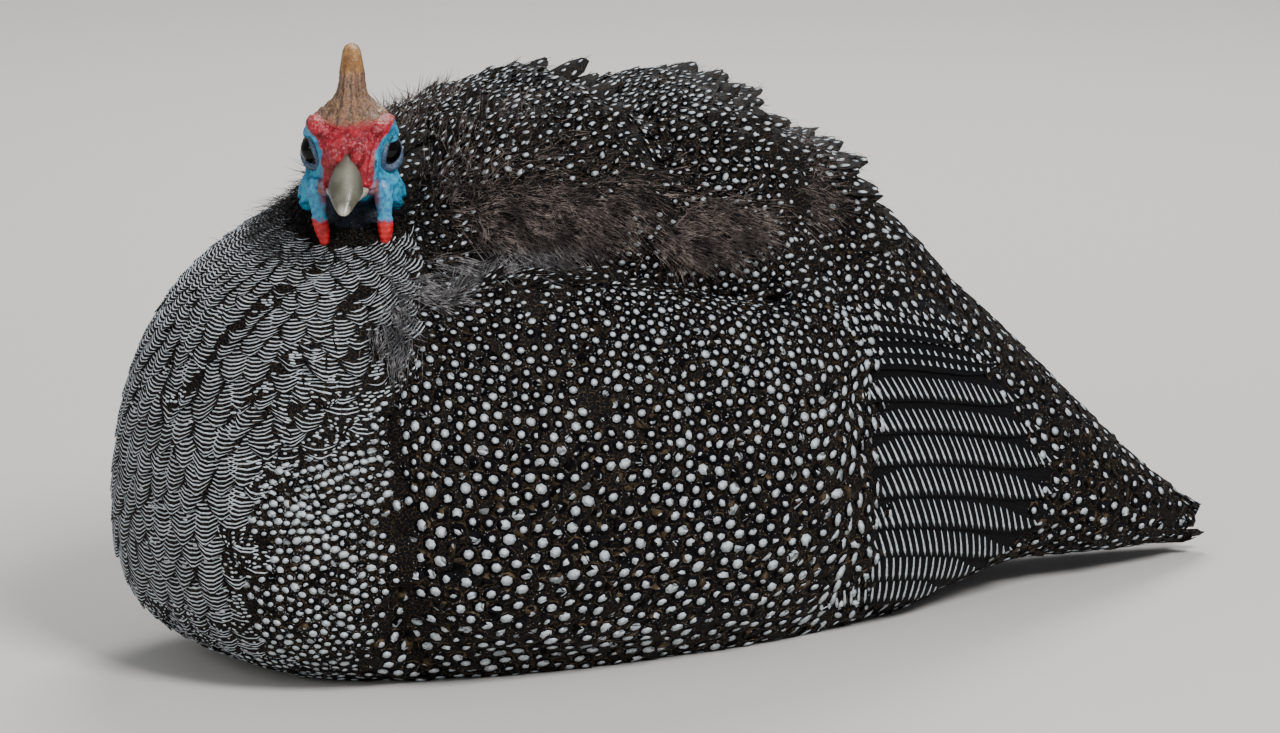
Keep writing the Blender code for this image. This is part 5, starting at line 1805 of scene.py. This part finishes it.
# %% Move the warts, wrinkles, grooves and folds into the head
points, normals = points_of(head), normals_of(head)
red, dark, fleshy = regions_of(points)
x, y, z = np.abs(points[:, 0]), points[:, 1], points[:, 2]
warty = red * ramp(z, -0.004, 0.004)
bump = warty * (0.00042 - 0.00062 * cells(points, WART_SCALE))
bump += warty * 0.00018 * rough(points, 500.0)
blue = (1 - red) * (1 - dark)
creased = points * (1.0, 1.0, 0.45)
bump += blue * 0.00022 * -np.abs(rough(creased, 520.0)) + blue * 0.00012 * rough(points, 1300.0)
bump += blue * 0.00055 * rough(points, 260.0)
groove = bell((x, 0.0078 + 0.16 * (z + 0.004), 0.0007))
groove *= ramp(z, -0.0085, -0.0060) * (1 - ramp(z, 0.0035, 0.0065)) * (1 - ramp(y, -0.016, -0.012))
bump -= 0.0011 * groove
culmen = bell((x, 0.0, 0.0010)) * (1 - ramp(y, -0.019, -0.016))
bump -= 0.0009 * culmen
mouth = bell((z, -0.0098 - 0.06 * (y + 0.02), 0.00045)) * (1 - ramp(y, -0.0095, -0.0078))
bump -= 0.0010 * mouth
lobes = ramp(-z, 0.013, 0.019) * ramp(x, 0.010, 0.014)
bump += lobes * 0.0008 * np.sin(points[:, 1] * 900 + 2.2 * np.sin(points[:, 2] * 700))
points = points + normals * bump[:, None]
for side in (1, -1):
    centre, out, back, up = eye_frame(side)
    away = points - centre
    depth, p, q = away @ out, away @ back, away @ up
    angle = np.arctan2(q / LID_HIGH, p / LID_WIDE)
    edge_p, edge_q = lid_outline(angle)
    reach = np.hypot(p - LID_LEAN * q / LID_HIGH, q)
    reach = reach / np.hypot(edge_p - LID_LEAN * edge_q / LID_HIGH, edge_q)
    inside = (depth > 0) * (1 - ramp(reach, 0.92, 1.02))
    sunk = np.minimum(depth, globe_height(p, q) - 0.0009)
    points += out * ((sunk - depth) * inside)[:, None]
    flat_ring = (depth > 0) * (1 - ramp(reach, 1.9, 2.5)) * (reach > 1.0)
    cap = 0.0036 + 0.0016 * ramp(reach, 1.25, 2.4)
    depth = (points - centre) @ out
    points += out * ((np.minimum(depth, cap) - depth) * flat_ring)[:, None]
ear = bell((x, 0.0125, 0.004), (y, 0.0110, 0.0013), (z, -0.0035, 0.0017))
points -= normals * (0.0016 * ramp(ear, 0.2, 0.9))[:, None]
move_points(head, on_bird(points))

# %% [markdown]
# ## One skin
#
# The body's skin is the form drawn in by the depth of the coat. It's fused with the head, so that
# the bare neck runs into the feathered one without a seam.

# %% Fuse the body's skin with the head
SKIN_DEPTH = 0.0045
SKIN_VOXEL = 0.0034
skin = make_form("skin", 0.236)
skin_points, skin_normals = points_of(skin), normals_of(skin)
drawn_in = SKIN_DEPTH * (1 - 0.6 * ramp(skin_points[:, 2], 0.150, 0.172))
for depth, wide, distance, _ in folds_by(skin_points):
    drawn_in = drawn_in + (depth + 0.001) * bell((distance, 0.0, 1.5 * wide))
move_points(skin, skin_points - skin_normals * drawn_in[:, None])
finished(
    skin,
    ("REMESH", {"mode": "VOXEL", "voxel_size": SKIN_VOXEL}),
    ("BOOLEAN", {"operation": "UNION", "object": head, "solver": "MANIFOLD"}),
    ("TRIANGULATE", {}),
)
bpy.data.objects.remove(head, do_unlink=True)
points = points_of(skin)
head_points = in_head(points)
on_head = 1 - ramp(np.linalg.norm(head_points, axis=1), 0.030, 0.036)
red, dark, fleshy = regions_of(head_points)
golden = ramp(head_points[:, 2], 0.0098, 0.0125) * bell((head_points[:, 0], 0.0, 0.011))
mark(
    skin, red=red * on_head, dark=np.clip(dark + (1 - on_head), 0, 1), fleshy=fleshy * on_head,
    hollow=cells(head_points, WART_SCALE), plumed=1 - on_head, golden=on_head * golden,
)
lay_map(skin.data, "OFBake", unrolled(points))

# %% The skin's finish
face = Finish("face_skin", {"Roughness": 0.48, "Specular IOR Level": 0.4})
where = face.place()
fine = face.noise(where, 1500.0, 3.0).above(0.30, 0.70)
broad = face.noise(where, 260.0, 3.0).above(0.35, 0.65)
turquoise = face.blend(broad, (0.004, 0.120, 0.300), (0.014, 0.300, 0.480))
turquoise = face.blend(fine * 0.30, turquoise, (0.10, 0.50, 0.60))
blotch = face.noise(where, 330.0, 4.0, 0.7).above(0.56, 0.66)
turquoise = face.blend(blotch * 0.85, turquoise, (0.006, 0.050, 0.055))
scarlet = face.blend(broad, (0.17, 0.002, 0.008), (0.34, 0.008, 0.020))
wart = 1 - face.measure("hollow").above(0.22, 0.52)
scarlet = face.blend(wart * fine * 0.60, scarlet, (0.60, 0.16, 0.18))
scarlet = face.blend(face.measure("golden") * fine, scarlet, (0.55, 0.30, 0.11))
# Dark slate under the chin and down the neck: partly the skin's own blue-black, partly painted
# shade.
slate = face.blend(broad, (0.0035, 0.0065, 0.016), (0.008, 0.020, 0.045))
flesh = face.blend(broad, (0.13, 0.040, 0.036), (0.27, 0.105, 0.090))
colour = face.blend(face.measure("dark"), turquoise, slate)
colour = face.blend(face.measure("fleshy"), colour, flesh)
colour = face.blend(face.measure("red"), colour, scarlet)
wrinkles = face.noise(face.stretched(where, (1.0, 1.0, 0.5)), 1900.0, 3.0)
colour = face.blend(face.measure("plumed"), colour, NEAR_BLACK)
face_skin = face.paint(colour, 0.36 + 0.22 * fine, wrinkles, 0.00030)
skin.data.materials.clear()
skin.data.materials.append(face_skin)
skin.data.shade_smooth()
belongs(skin, "blue_skin", "head", "neck")

# %% [markdown]
# ## Eyes and lids
#
# The eye is a large dark globe, set deep, of which the lids leave an upright almond free. The
# lids are a ring of thick grey-blue skin with wrinkles across it and short lashes above.

# %% Globes, lids and lashes
eye_finish = Finish("eye_globe", {"Roughness": 0.05, "Specular IOR Level": 0.18})
from_middle = eye_finish.measure("from_middle")
iris = eye_finish.noise(eye_finish.place(), 2400.0, 2.0)
iris_colour = eye_finish.blend(iris, (0.012, 0.006, 0.004), (0.050, 0.024, 0.014))
pupil = 1 - from_middle.above(0.46, 0.50)
eye_glass = eye_finish.paint(eye_finish.blend(pupil, iris_colour, (0.0008, 0.0008, 0.001)))

lid_finish = Finish("lid_skin", {"Roughness": 0.42})
lid_tone = lid_finish.noise(lid_finish.place(), 1400.0, 3.0).above(0.3, 0.7)
lid_skin = lid_finish.paint(
    lid_finish.blend(lid_tone, (0.020, 0.038, 0.080), (0.080, 0.130, 0.205)),
    height=lid_tone, depth=0.00015,
)
dark_hair = Finish("dark_hair", {"Roughness": 0.5}).paint((0.004, 0.004, 0.005))

LID_STEPS = 96
LID_SIDES = 14
LID_THICK = 0.00105
LASHES = 60
for side, word in SIDES:
    centre, out, back, up = eye_frame(side)
    deselect_all()
    bpy.ops.mesh.primitive_uv_sphere_add(segments=64, ring_count=40, radius=EYE_RADIUS)
    globe = bpy.context.object
    globe.name = "eye_globe_" + word
    globe_points = points_of(globe)
    away = np.degrees(np.arccos(np.clip(unit(globe_points) @ out, -1, 1)))
    cornea = 0.00035 * bell((away, 0.0, 30.0))
    globe_points = globe_points + unit(globe_points) * cornea[:, None]
    mark(globe, from_middle=away / 90.0)
    dressed(globe, globe_points + centre, eye_glass)
    globe.data.shade_smooth()
    belongs(globe, "eye", "eye_" + word)

    angles = circle(LID_STEPS)
    p, q = lid_outline(angles, 0.0005)
    spine = centre + back * p[:, None] + up * q[:, None]
    spine = spine + out * (globe_height(p, q) - 0.0002)[:, None]
    thicker = LID_THICK * (1 + 0.35 * (np.sin(angles) < 0) * -np.sin(angles))
    outward = unit(back * p[:, None] + up * q[:, None])
    rings = []
    for a in circle(LID_SIDES):
        wrinkle = 1 + 0.10 * np.sin(angles * 31 + 2 * a) * (math.sin(a) > -0.3)
        radius = (thicker * wrinkle)[:, None]
        rings.append(spine + radius * (1.25 * math.cos(a) * outward + math.sin(a) * out))
    rings = np.stack(rings, axis=1)
    count = LID_STEPS * LID_SIDES
    index = np.arange(count).reshape(LID_STEPS, LID_SIDES)
    ahead, beside = np.roll(index, -1, axis=0), np.roll(index, -1, axis=1)
    both = np.roll(ahead, -1, axis=1)
    faces = np.concatenate([
        np.stack([index, ahead, both], axis=2).reshape(-1, 3),
        np.stack([index, both, beside], axis=2).reshape(-1, 3),
    ])
    lid = piece_from(
        "lids_" + word, on_bird(rings.reshape(-1, 3)), faces if side > 0 else faces[:, ::-1],
        lid_skin,
    )
    belongs(lid, "blue_skin")

    p, q = lid_outline(dice.uniform(0.05 * math.pi, 0.95 * math.pi, LASHES), 0.0016)
    from_centre = back * p[:, None] + up * q[:, None]
    lash_roots = centre + from_centre + out * globe_height(p, q)[:, None]
    lash_ways = unit(out * 0.8 + unit(from_centre) + dice.normal(0, 0.25, lash_roots.shape))
    lashes = strands(
        "lashes_" + word, on_bird(lash_roots), lash_ways @ head_turn.T,
        dice.uniform(0.0016, 0.0038, LASHES), 0.00016, 0.1, dark_hair,
    )
    belongs(lashes, "blue_skin")

# %% [markdown]
# ## Bill
#
# The bill is horn: a rounded, strongly bent upper part that closes over a shorter lower one. Fine
# growth lines run along it, and it's darker near the forehead and pale at the tip.

# %% Upper and lower bill
BILL = [
    (-0.0150, 0.0034, 0.0020, -0.0066),
    (-0.0195, 0.0040, 0.0022, -0.0070),
    (-0.0240, 0.0052, 0.0016, -0.0078),
    (-0.0285, 0.0060, -0.0006, -0.0088),
    (-0.0322, 0.0054, -0.0032, -0.0098),
    (-0.0355, 0.0042, -0.0064, -0.0112),
    (-0.0383, 0.0029, -0.0096, -0.0128),
    (-0.0402, 0.0017, -0.0120, -0.0138),
    (-0.0410, 0.0008, -0.0132, -0.0142),
]
LOWER_BILL = [
    (-0.0120, 0.0086, -0.0100, -0.0134),
    (-0.0180, 0.0083, -0.0096, -0.0138),
    (-0.0240, 0.0070, -0.0092, -0.0136),
    (-0.0290, 0.0053, -0.0098, -0.0134),
    (-0.0335, 0.0034, -0.0106, -0.0132),
    (-0.0365, 0.0016, -0.0114, -0.0128),
]
BILL_ROUND = 0.86


def bill_rings(table, count, around, upper):
    """Sections of one half of the bill: an arch, closed by a nearly flat inner side."""
    rings = []
    rows = sorted(table)
    a = circle(around)
    arch = np.sin(a) > 0 if upper else np.sin(a) < 0
    height = np.where(arch, np.abs(np.sin(a)) ** 0.9, -0.10 * np.abs(np.sin(a)))
    for y in np.linspace(rows[-1][0], rows[0][0], count):
        half, top, low = through(rows, [y])[0]
        base, deep = (low, top - low) if upper else (top, low - top)
        x = half * squared(a, BILL_ROUND)
        rings.append(np.stack([x, np.full(around, y), base + deep * height], axis=1))
    return rings


horn_finish = Finish("bill_horn", {"Roughness": 0.34, "Specular IOR Level": 0.55})
where = horn_finish.place()
streaks = horn_finish.noise(horn_finish.stretched(where, (6.0, 6.0, 1.0)), 420.0, 4.0)
cloud = horn_finish.noise(where, 130.0, 3.0).above(0.20, 0.80)
olive = horn_finish.blend(cloud, (0.060, 0.056, 0.038), (0.135, 0.130, 0.100))
# Cream for the pale tip of the bill, and for the painted highlight beside its ridge.
cream_tip_and_highlight = horn_finish.blend(streaks.above(0.35, 0.65), (0.34, 0.32, 0.25), (0.52, 0.49, 0.40))
bill_horn = horn_finish.paint(
    horn_finish.blend(horn_finish.measure("paleness"), olive, cream_tip_and_highlight), 0.20 + 0.14 * cloud,
    streaks, 0.00008,
)

for name, table, tip, upper in (
    ("bill_horn_upper", BILL, (0, -0.0414, -0.0139), True),
    ("bill_horn_lower", LOWER_BILL, (0, -0.0372, -0.0121), False),
):
    rings = bill_rings(table, 44, 48, upper)
    bill = wrapped_grid(name, rings, end=tip)
    points, normals = points_of(bill), normals_of(bill)
    x, y, z = points.T
    pale = np.ones(len(points))
    scored = 0.00008 * rough(points * (1.0, 0.18, 1.0), 1600.0)
    if upper:
        ahead = ramp(-y, 0.022, 0.030) * (1 - ramp(-y, 0.034, 0.039))
        # The pale end is the bill's own cream tip; the pale stripe just beside the ridge is a
        # painted highlight.
        pale = 0.8 * ramp(-y, 0.0385, 0.0410) + 0.35 * bell((x, 0.0012, 0.0016)) * ahead
        nostril = bell((np.abs(x), 0.0052, 0.0016), (y, -0.0232, 0.0017), (z, -0.0012, 0.0009))
        scored = scored - 0.0011 * nostril
    mark(bill, paleness=np.clip(pale, 0, 1))
    dressed(bill, points + normals * scored[:, None], bill_horn)
    belongs(bill, "bill_horn", "bill_upper" if upper else "bill_lower")

# %% [markdown]
# ## Casque
#
# The helmet is bone under a coat of horn. Below it flares out over the forehead in golden flakes.
# The shaft is brown-pink and scored with upright grooves, and its top is smooth and amber.

# %% The casque with its ridges and flakes
CASQUE = [
    (0.0074, 0.0132, 0.0148),
    (0.0098, 0.0136, 0.0150),
    (0.0118, 0.0118, 0.0140),
    (0.0142, 0.0086, 0.0124),
    (0.0172, 0.0059, 0.0106),
    (0.0210, 0.0046, 0.0090),
    (0.0250, 0.0041, 0.0077),
    (0.0292, 0.0037, 0.0062),
    (0.0324, 0.0031, 0.0048),
    (0.0342, 0.0022, 0.0033),
    (0.0350, 0.0010, 0.0015),
]
CASQUE_TOP = 0.0352
CASQUE_LEAN = 0.16
CASQUE_MIDDLE = 0.0015
rings = []
for z in np.linspace(CASQUE[0][0], CASQUE[-1][0], 96):
    across, along = through(CASQUE, [z])[0]
    rings.append(hoop(circle(132), across, along) + (0, CASQUE_MIDDLE + CASQUE_LEAN * z, z))
top = (0, CASQUE_MIDDLE + CASQUE_LEAN * CASQUE_TOP, CASQUE_TOP)
casque = wrapped_grid("casque_horn", rings, end=top)
points, normals = points_of(casque), normals_of(casque)
z = points[:, 2]
turn = np.arctan2(points[:, 1] - CASQUE_MIDDLE - CASQUE_LEAN * z, points[:, 0])
warped = turn + 0.10 * rough(points * (0.3, 0.3, 1.0), 260.0)
ridges = np.sin(17 * warped) + 0.5 * np.sin(31 * warped + 1.3)
low_part = 1 - ramp(z, 0.024, 0.031)
flaky = 1 - ramp(z, 0.0150, 0.0215)
flakes = 0.5 - cells(points * (1.0, 1.0, 0.7), 620.0)
bump = 0.00022 * ridges * low_part + 0.00075 * flakes * flaky
bump += 0.0002 * rough(points, 700.0) * low_part + 0.00035 * rough(points, 160.0)
points = points + normals * bump[:, None]
# The groove measure is where the shaft gets painted shade, in its grooves.
mark(
    casque, height=ramp(z, 0.008, 0.036), groove=ramp(-ridges, 0.1, 1.2) * low_part,
    flake=np.clip(flakes * 2, 0, 1) * flaky,
    skirt=1 - ramp(z + 0.0012 * rough(points, 500.0), 0.0096, 0.0122),
)
helmet = Finish("casque_horn", {"Roughness": 0.4, "Specular IOR Level": 0.6})
where = helmet.place()
fine = helmet.noise(where, 1300.0, 4.0).above(0.3, 0.7)
cloud = helmet.noise(where, 240.0, 3.0).above(0.35, 0.65)
shaft = helmet.blend(cloud, (0.085, 0.034, 0.021), (0.20, 0.090, 0.052))
# Darker in the grooves: painted shade in the grooves of the shaft.
shaft = helmet.blend(helmet.measure("groove") * 0.9, shaft, (0.018, 0.009, 0.007))
# Golden flecks: partly the horn's own golden grain, partly painted glints.
shaft = helmet.blend(fine * 0.30, shaft, (0.52, 0.33, 0.17))
amber = helmet.blend(cloud, (0.20, 0.080, 0.018), (0.40, 0.21, 0.060))
colour = helmet.blend(helmet.measure("height").above(0.66, 0.80), shaft, amber)
colour = helmet.blend(helmet.measure("flake") * fine, colour, (0.40, 0.23, 0.075))
colour = helmet.blend(helmet.measure("skirt"), colour, (0.30, 0.010, 0.016))
dressed(casque, points, helmet.paint(colour, 0.22 + 0.3 * fine, fine, 0.00030))
belongs(casque, "casque_horn", "casque")

# %% [markdown]
# ## Wattles
#
# A wattle hangs from each corner of the mouth. Its stalk is blue like the cheek, and its end is
# bright red, soft and ringed like a worm.

# %% Ringed wattles
WATTLE = [
    (0.00, 0.0022), (0.12, 0.0038), (0.32, 0.0033), (0.50, 0.0025), (0.60, 0.0027),
    (0.74, 0.0025), (0.86, 0.0019), (0.95, 0.0012), (1.00, 0.0005),
]
WATTLE_FLAT = 0.72
wattle_finish = Finish("wattle_skin", {"Roughness": 0.36, "Specular IOR Level": 0.5})
where = wattle_finish.place()
tone = wattle_finish.noise(where, 700.0, 3.0).above(0.3, 0.7)
crimson = wattle_finish.blend(tone, (0.36, 0.003, 0.006), (0.56, 0.014, 0.016))
stalk_blue = wattle_finish.blend(tone, (0.010, 0.120, 0.300), (0.045, 0.33, 0.50))
mauve = wattle_finish.blend(tone, (0.10, 0.020, 0.045), (0.20, 0.06, 0.11))
stalk = wattle_finish.blend(wattle_finish.measure("root"), stalk_blue, mauve)
wattle_skin = wattle_finish.paint(
    wattle_finish.blend(wattle_finish.measure("tip"), stalk, crimson), 0.30 + 0.2 * tone,
    wattle_finish.noise(where, 1600.0, 2.0), 0.00015,
)
for side, word, at, drift in (
    (1, "left", (0.0108, -0.0130, -0.0080), (0.0018, -0.0040, -0.0240)),
    (-1, "right", (-0.0112, -0.0130, -0.0080), (0.0030, -0.0040, -0.0240)),
):
    turns = circle(30)
    rings = []
    for t in np.linspace(0, 1, 72):
        radius = through(WATTLE, [t])[0, 0]
        fold = 0.12 * abs(math.sin(t * 26 * (1 + 0.3 * t))) * ramp(np.array(t), 0.35, 0.6)
        centre = np.array(at) + np.array(drift) * t + (side * 0.0007 * math.sin(3.3 * t), 0, 0)
        wrinkled = radius * (0.95 + fold + 0.03 * np.sin(3 * turns + 9 * t))
        rings.append(centre + hoop(turns, wrinkled, WATTLE_FLAT * wrinkled))
    end = np.array(at) + np.array(drift) * 1.01
    wattle = wrapped_grid("wattle_skin_" + word, rings, end=end)
    points = points_of(wattle)
    down = np.clip((at[2] - points[:, 2]) / -drift[2], 0, 1)
    inner = ramp(-side * (points[:, 0] - at[0] - drift[0] * down), -0.0005, 0.0018)
    mark(
        wattle, tip=ramp(down + 0.05 * rough(points, 700.0), 0.56, 0.62),
        root=inner * (1 - ramp(down + 0.12 * rough(points, 500.0), 0.30, 0.50)),
    )
    dressed(wattle, points, wattle_skin)
    belongs(wattle, "wattle_skin", "wattle_" + word)

# %% [markdown]
# ## Legs
#
# A resting guinea fowl sits on its heels, with the bare part of the leg flat under the belly and
# the toes spread in front. The leg is covered with horny plates: broad ones in a row down the
# front and on top of the toes, small ones elsewhere. Each toe ends in a short blunt claw.

# %% Scaled legs and claws, under the belly
HEEL = np.array((0.036, 0.082, 0.0052))
FOOT_JOINT = np.array((0.038, 0.006, 0.0036))
SHANK_TOP = np.array((0.034, 0.062, 0.030))
TOES = ((-17.0, 0.040), (0.0, 0.050), (17.0, 0.040), (152.0, 0.014))
SCUTE = 0.0032


def scaled_tube(name, centres, radii, count):
    """A tube over the floor, with the edges of its plates pressed into its upper side."""
    shares = np.linspace(0, 1, len(centres))
    t = np.linspace(0, 1, count)
    path = through(np.column_stack([shares, centres]), t)
    thick = through(np.column_stack([shares, radii]), t)[:, 0]
    along = unit(np.gradient(path, axis=0))
    side = unit(np.cross(along, (0.0, 0.0, 1.0)))
    up = np.cross(side, along)
    walked = np.concatenate([[0], np.cumsum(apart(path[1:], path[:-1]))])
    turns = circle(28)
    rings = []
    for k in range(count):
        step = (walked[k] / SCUTE) % 1.0
        on_top = np.clip(np.sin(turns), 0, 1) ** 0.5
        plate = 0.06 * math.sin(math.pi * step) ** 0.5 * on_top
        radius = thick[k] * (0.93 + plate)[:, None]
        out = np.cos(turns)[:, None] * side[k] + np.sin(turns)[:, None] * up[k]
        ring = path[k] + radius * out
        ring[:, 2] = np.maximum(ring[:, 2], 0.0002)
        rings.append(ring)
    return wrapped_grid(name, rings)


scale_finish = Finish("leg_scales", {"Roughness": 0.5, "Specular IOR Level": 0.4})
where = scale_finish.place()
plates = scale_finish.add(
    "ShaderNodeTexVoronoi", {"feature": "DISTANCE_TO_EDGE"}, {"Vector": where, "Scale": 520.0},
)
between = 1 - plates.above(0.02, 0.12)
cloud = scale_finish.noise(where, 200.0, 3.0).above(0.3, 0.7)
horn_grey = scale_finish.blend(cloud, (0.030, 0.026, 0.024), (0.085, 0.072, 0.064))
leg_scales = scale_finish.paint(
    scale_finish.blend(between * 0.8, horn_grey, (0.012, 0.010, 0.010)), 0.42 + 0.2 * cloud,
    plates.above(0.0, 0.2), 0.00015,
)
claw_horn = two_toned(
    "claw_horn", (0.3, 0.5), 600.0, 3.0, None, (0.020, 0.016, 0.014), (0.075, 0.060, 0.048),
)
for side, word in SIDES:
    mirror = np.array((side, 1.0, 1.0))
    parts = [
        scaled_tube("scaled_leg_" + word, [
            (HEEL + (0, 0.0045, 0.0006)) * mirror, HEEL * mirror,
            (HEEL * 0.5 + FOOT_JOINT * 0.5) * mirror, FOOT_JOINT * mirror,
            (FOOT_JOINT + (0, -0.003, -0.0006)) * mirror,
        ], (0.0030, 0.0048, 0.0042, 0.0036, 0.0028), 150),
        scaled_tube("shank", [
            HEEL * mirror, (HEEL + SHANK_TOP) / 2 * mirror, SHANK_TOP * mirror,
        ], (0.0042, 0.0045, 0.0044), 60),
    ]
    claws = []
    for turn, length in TOES:
        a = math.radians(turn)
        ahead = np.array((math.sin(a), -math.cos(a), 0.0))
        level = FOOT_JOINT * (1, 1, 0) + (0, 0, 0.0030)
        spots = [(level + ahead * length * t) * mirror for t in (0.0, 0.3, 0.6, 0.84)]
        parts.append(scaled_tube("toe", spots, (0.0032, 0.0030, 0.0027, 0.0022), 80))
        tip = [(level + ahead * length * t + (0, 0, drop)) * mirror
               for t, drop in ((0.80, 0.0), (0.90, 0.0002), (1.0, -0.0020))]
        claws.append(scaled_tube("claws_" + word, tip, (0.0016, 0.0014, 0.0004), 30))
    for group, material, slot_name, nodes in (
        (parts, leg_scales, "leg_scales", ("leg_" + word,)), (claws, claw_horn, "bill_horn", ()),
    ):
        whole = joined(group)
        whole.data.materials.append(material)
        belongs(whole, slot_name, *nodes)

# %% [markdown]
# ## Floor, light and camera
#
# The camera looks from the bird's front left, a little above the ground, from far enough away
# that the perspective is mild. The light is that of a plain studio: a large lamp above, one from
# the side, and a pale room.

# %% A plain floor
deselect_all()
bpy.ops.mesh.primitive_plane_add(size=6, location=(0, 0, 0))
floor = bpy.context.object
floor.name = "floor"
floor.location = (0, 0, 0)
floor_finish = Finish("pale_floor", {"Roughness": 0.9})
floor_finish.paint((0.62, 0.60, 0.57))
floor.data.materials.append(floor_finish.material)

# %% Lamps and the room's own light
world = bpy.data.worlds.new("studio")
world.use_nodes = True
world.node_tree.nodes["Background"].inputs["Color"].default_value = (0.80, 0.83, 0.88, 1.0)
world.node_tree.nodes["Background"].inputs["Strength"].default_value = 0.40
bpy.context.scene.world = world


def lamp(name, where, aim, size, power):
    data = bpy.data.lights.new(name, "AREA")
    data.size = size
    data.energy = power
    thing = bpy.data.objects.new(name, data)
    thing.location = where
    thing.rotation_euler = (Vector(aim) - Vector(where)).to_track_quat("-Z", "Y").to_euler()
    bpy.context.scene.collection.objects.link(thing)


lamp("key", (1.9, 0.1, 1.8), (0, 0, 0.08), 0.8, 74)
lamp("fill", (0.6, -2.1, 1.0), (0, 0, 0.08), 1.4, 16)
lamp("rim", (-1.2, 0.9, 1.5), (0, 0, 0.1), 0.8, 30)

# %% The camera
AZIMUTH = math.radians(60.0)
ELEVATION = math.radians(10.5)
DISTANCE = 2.6
METRES_PER_PIXEL = 0.00036
PICTURE = (1280, 733)
ORIGIN_IN_PICTURE = (546, 628)

back = Vector((
    math.sin(AZIMUTH) * math.cos(ELEVATION),
    -math.cos(AZIMUTH) * math.cos(ELEVATION),
    math.sin(ELEVATION),
))
right = Vector((math.cos(AZIMUTH), math.sin(AZIMUTH), 0))
up = back.cross(right)
aim = right * (PICTURE[0] / 2 - ORIGIN_IN_PICTURE[0]) * METRES_PER_PIXEL
aim += up * (ORIGIN_IN_PICTURE[1] - PICTURE[1] / 2) * METRES_PER_PIXEL
camera_data = bpy.data.cameras.new("camera")
camera_data.sensor_width = 36.0
camera_data.lens = 36.0 * DISTANCE / (PICTURE[0] * METRES_PER_PIXEL)
camera = bpy.data.objects.new("camera", camera_data)
camera.location = aim + back * DISTANCE
camera.rotation_euler = back.to_track_quat("Z", "Y").to_euler()
bpy.context.scene.collection.objects.link(camera)
bpy.context.scene.camera = camera

# %% [markdown]
# ## Clearing up

# %% Remove the form that the feathers were laid on
bpy.data.objects.remove(form, do_unlink=True)
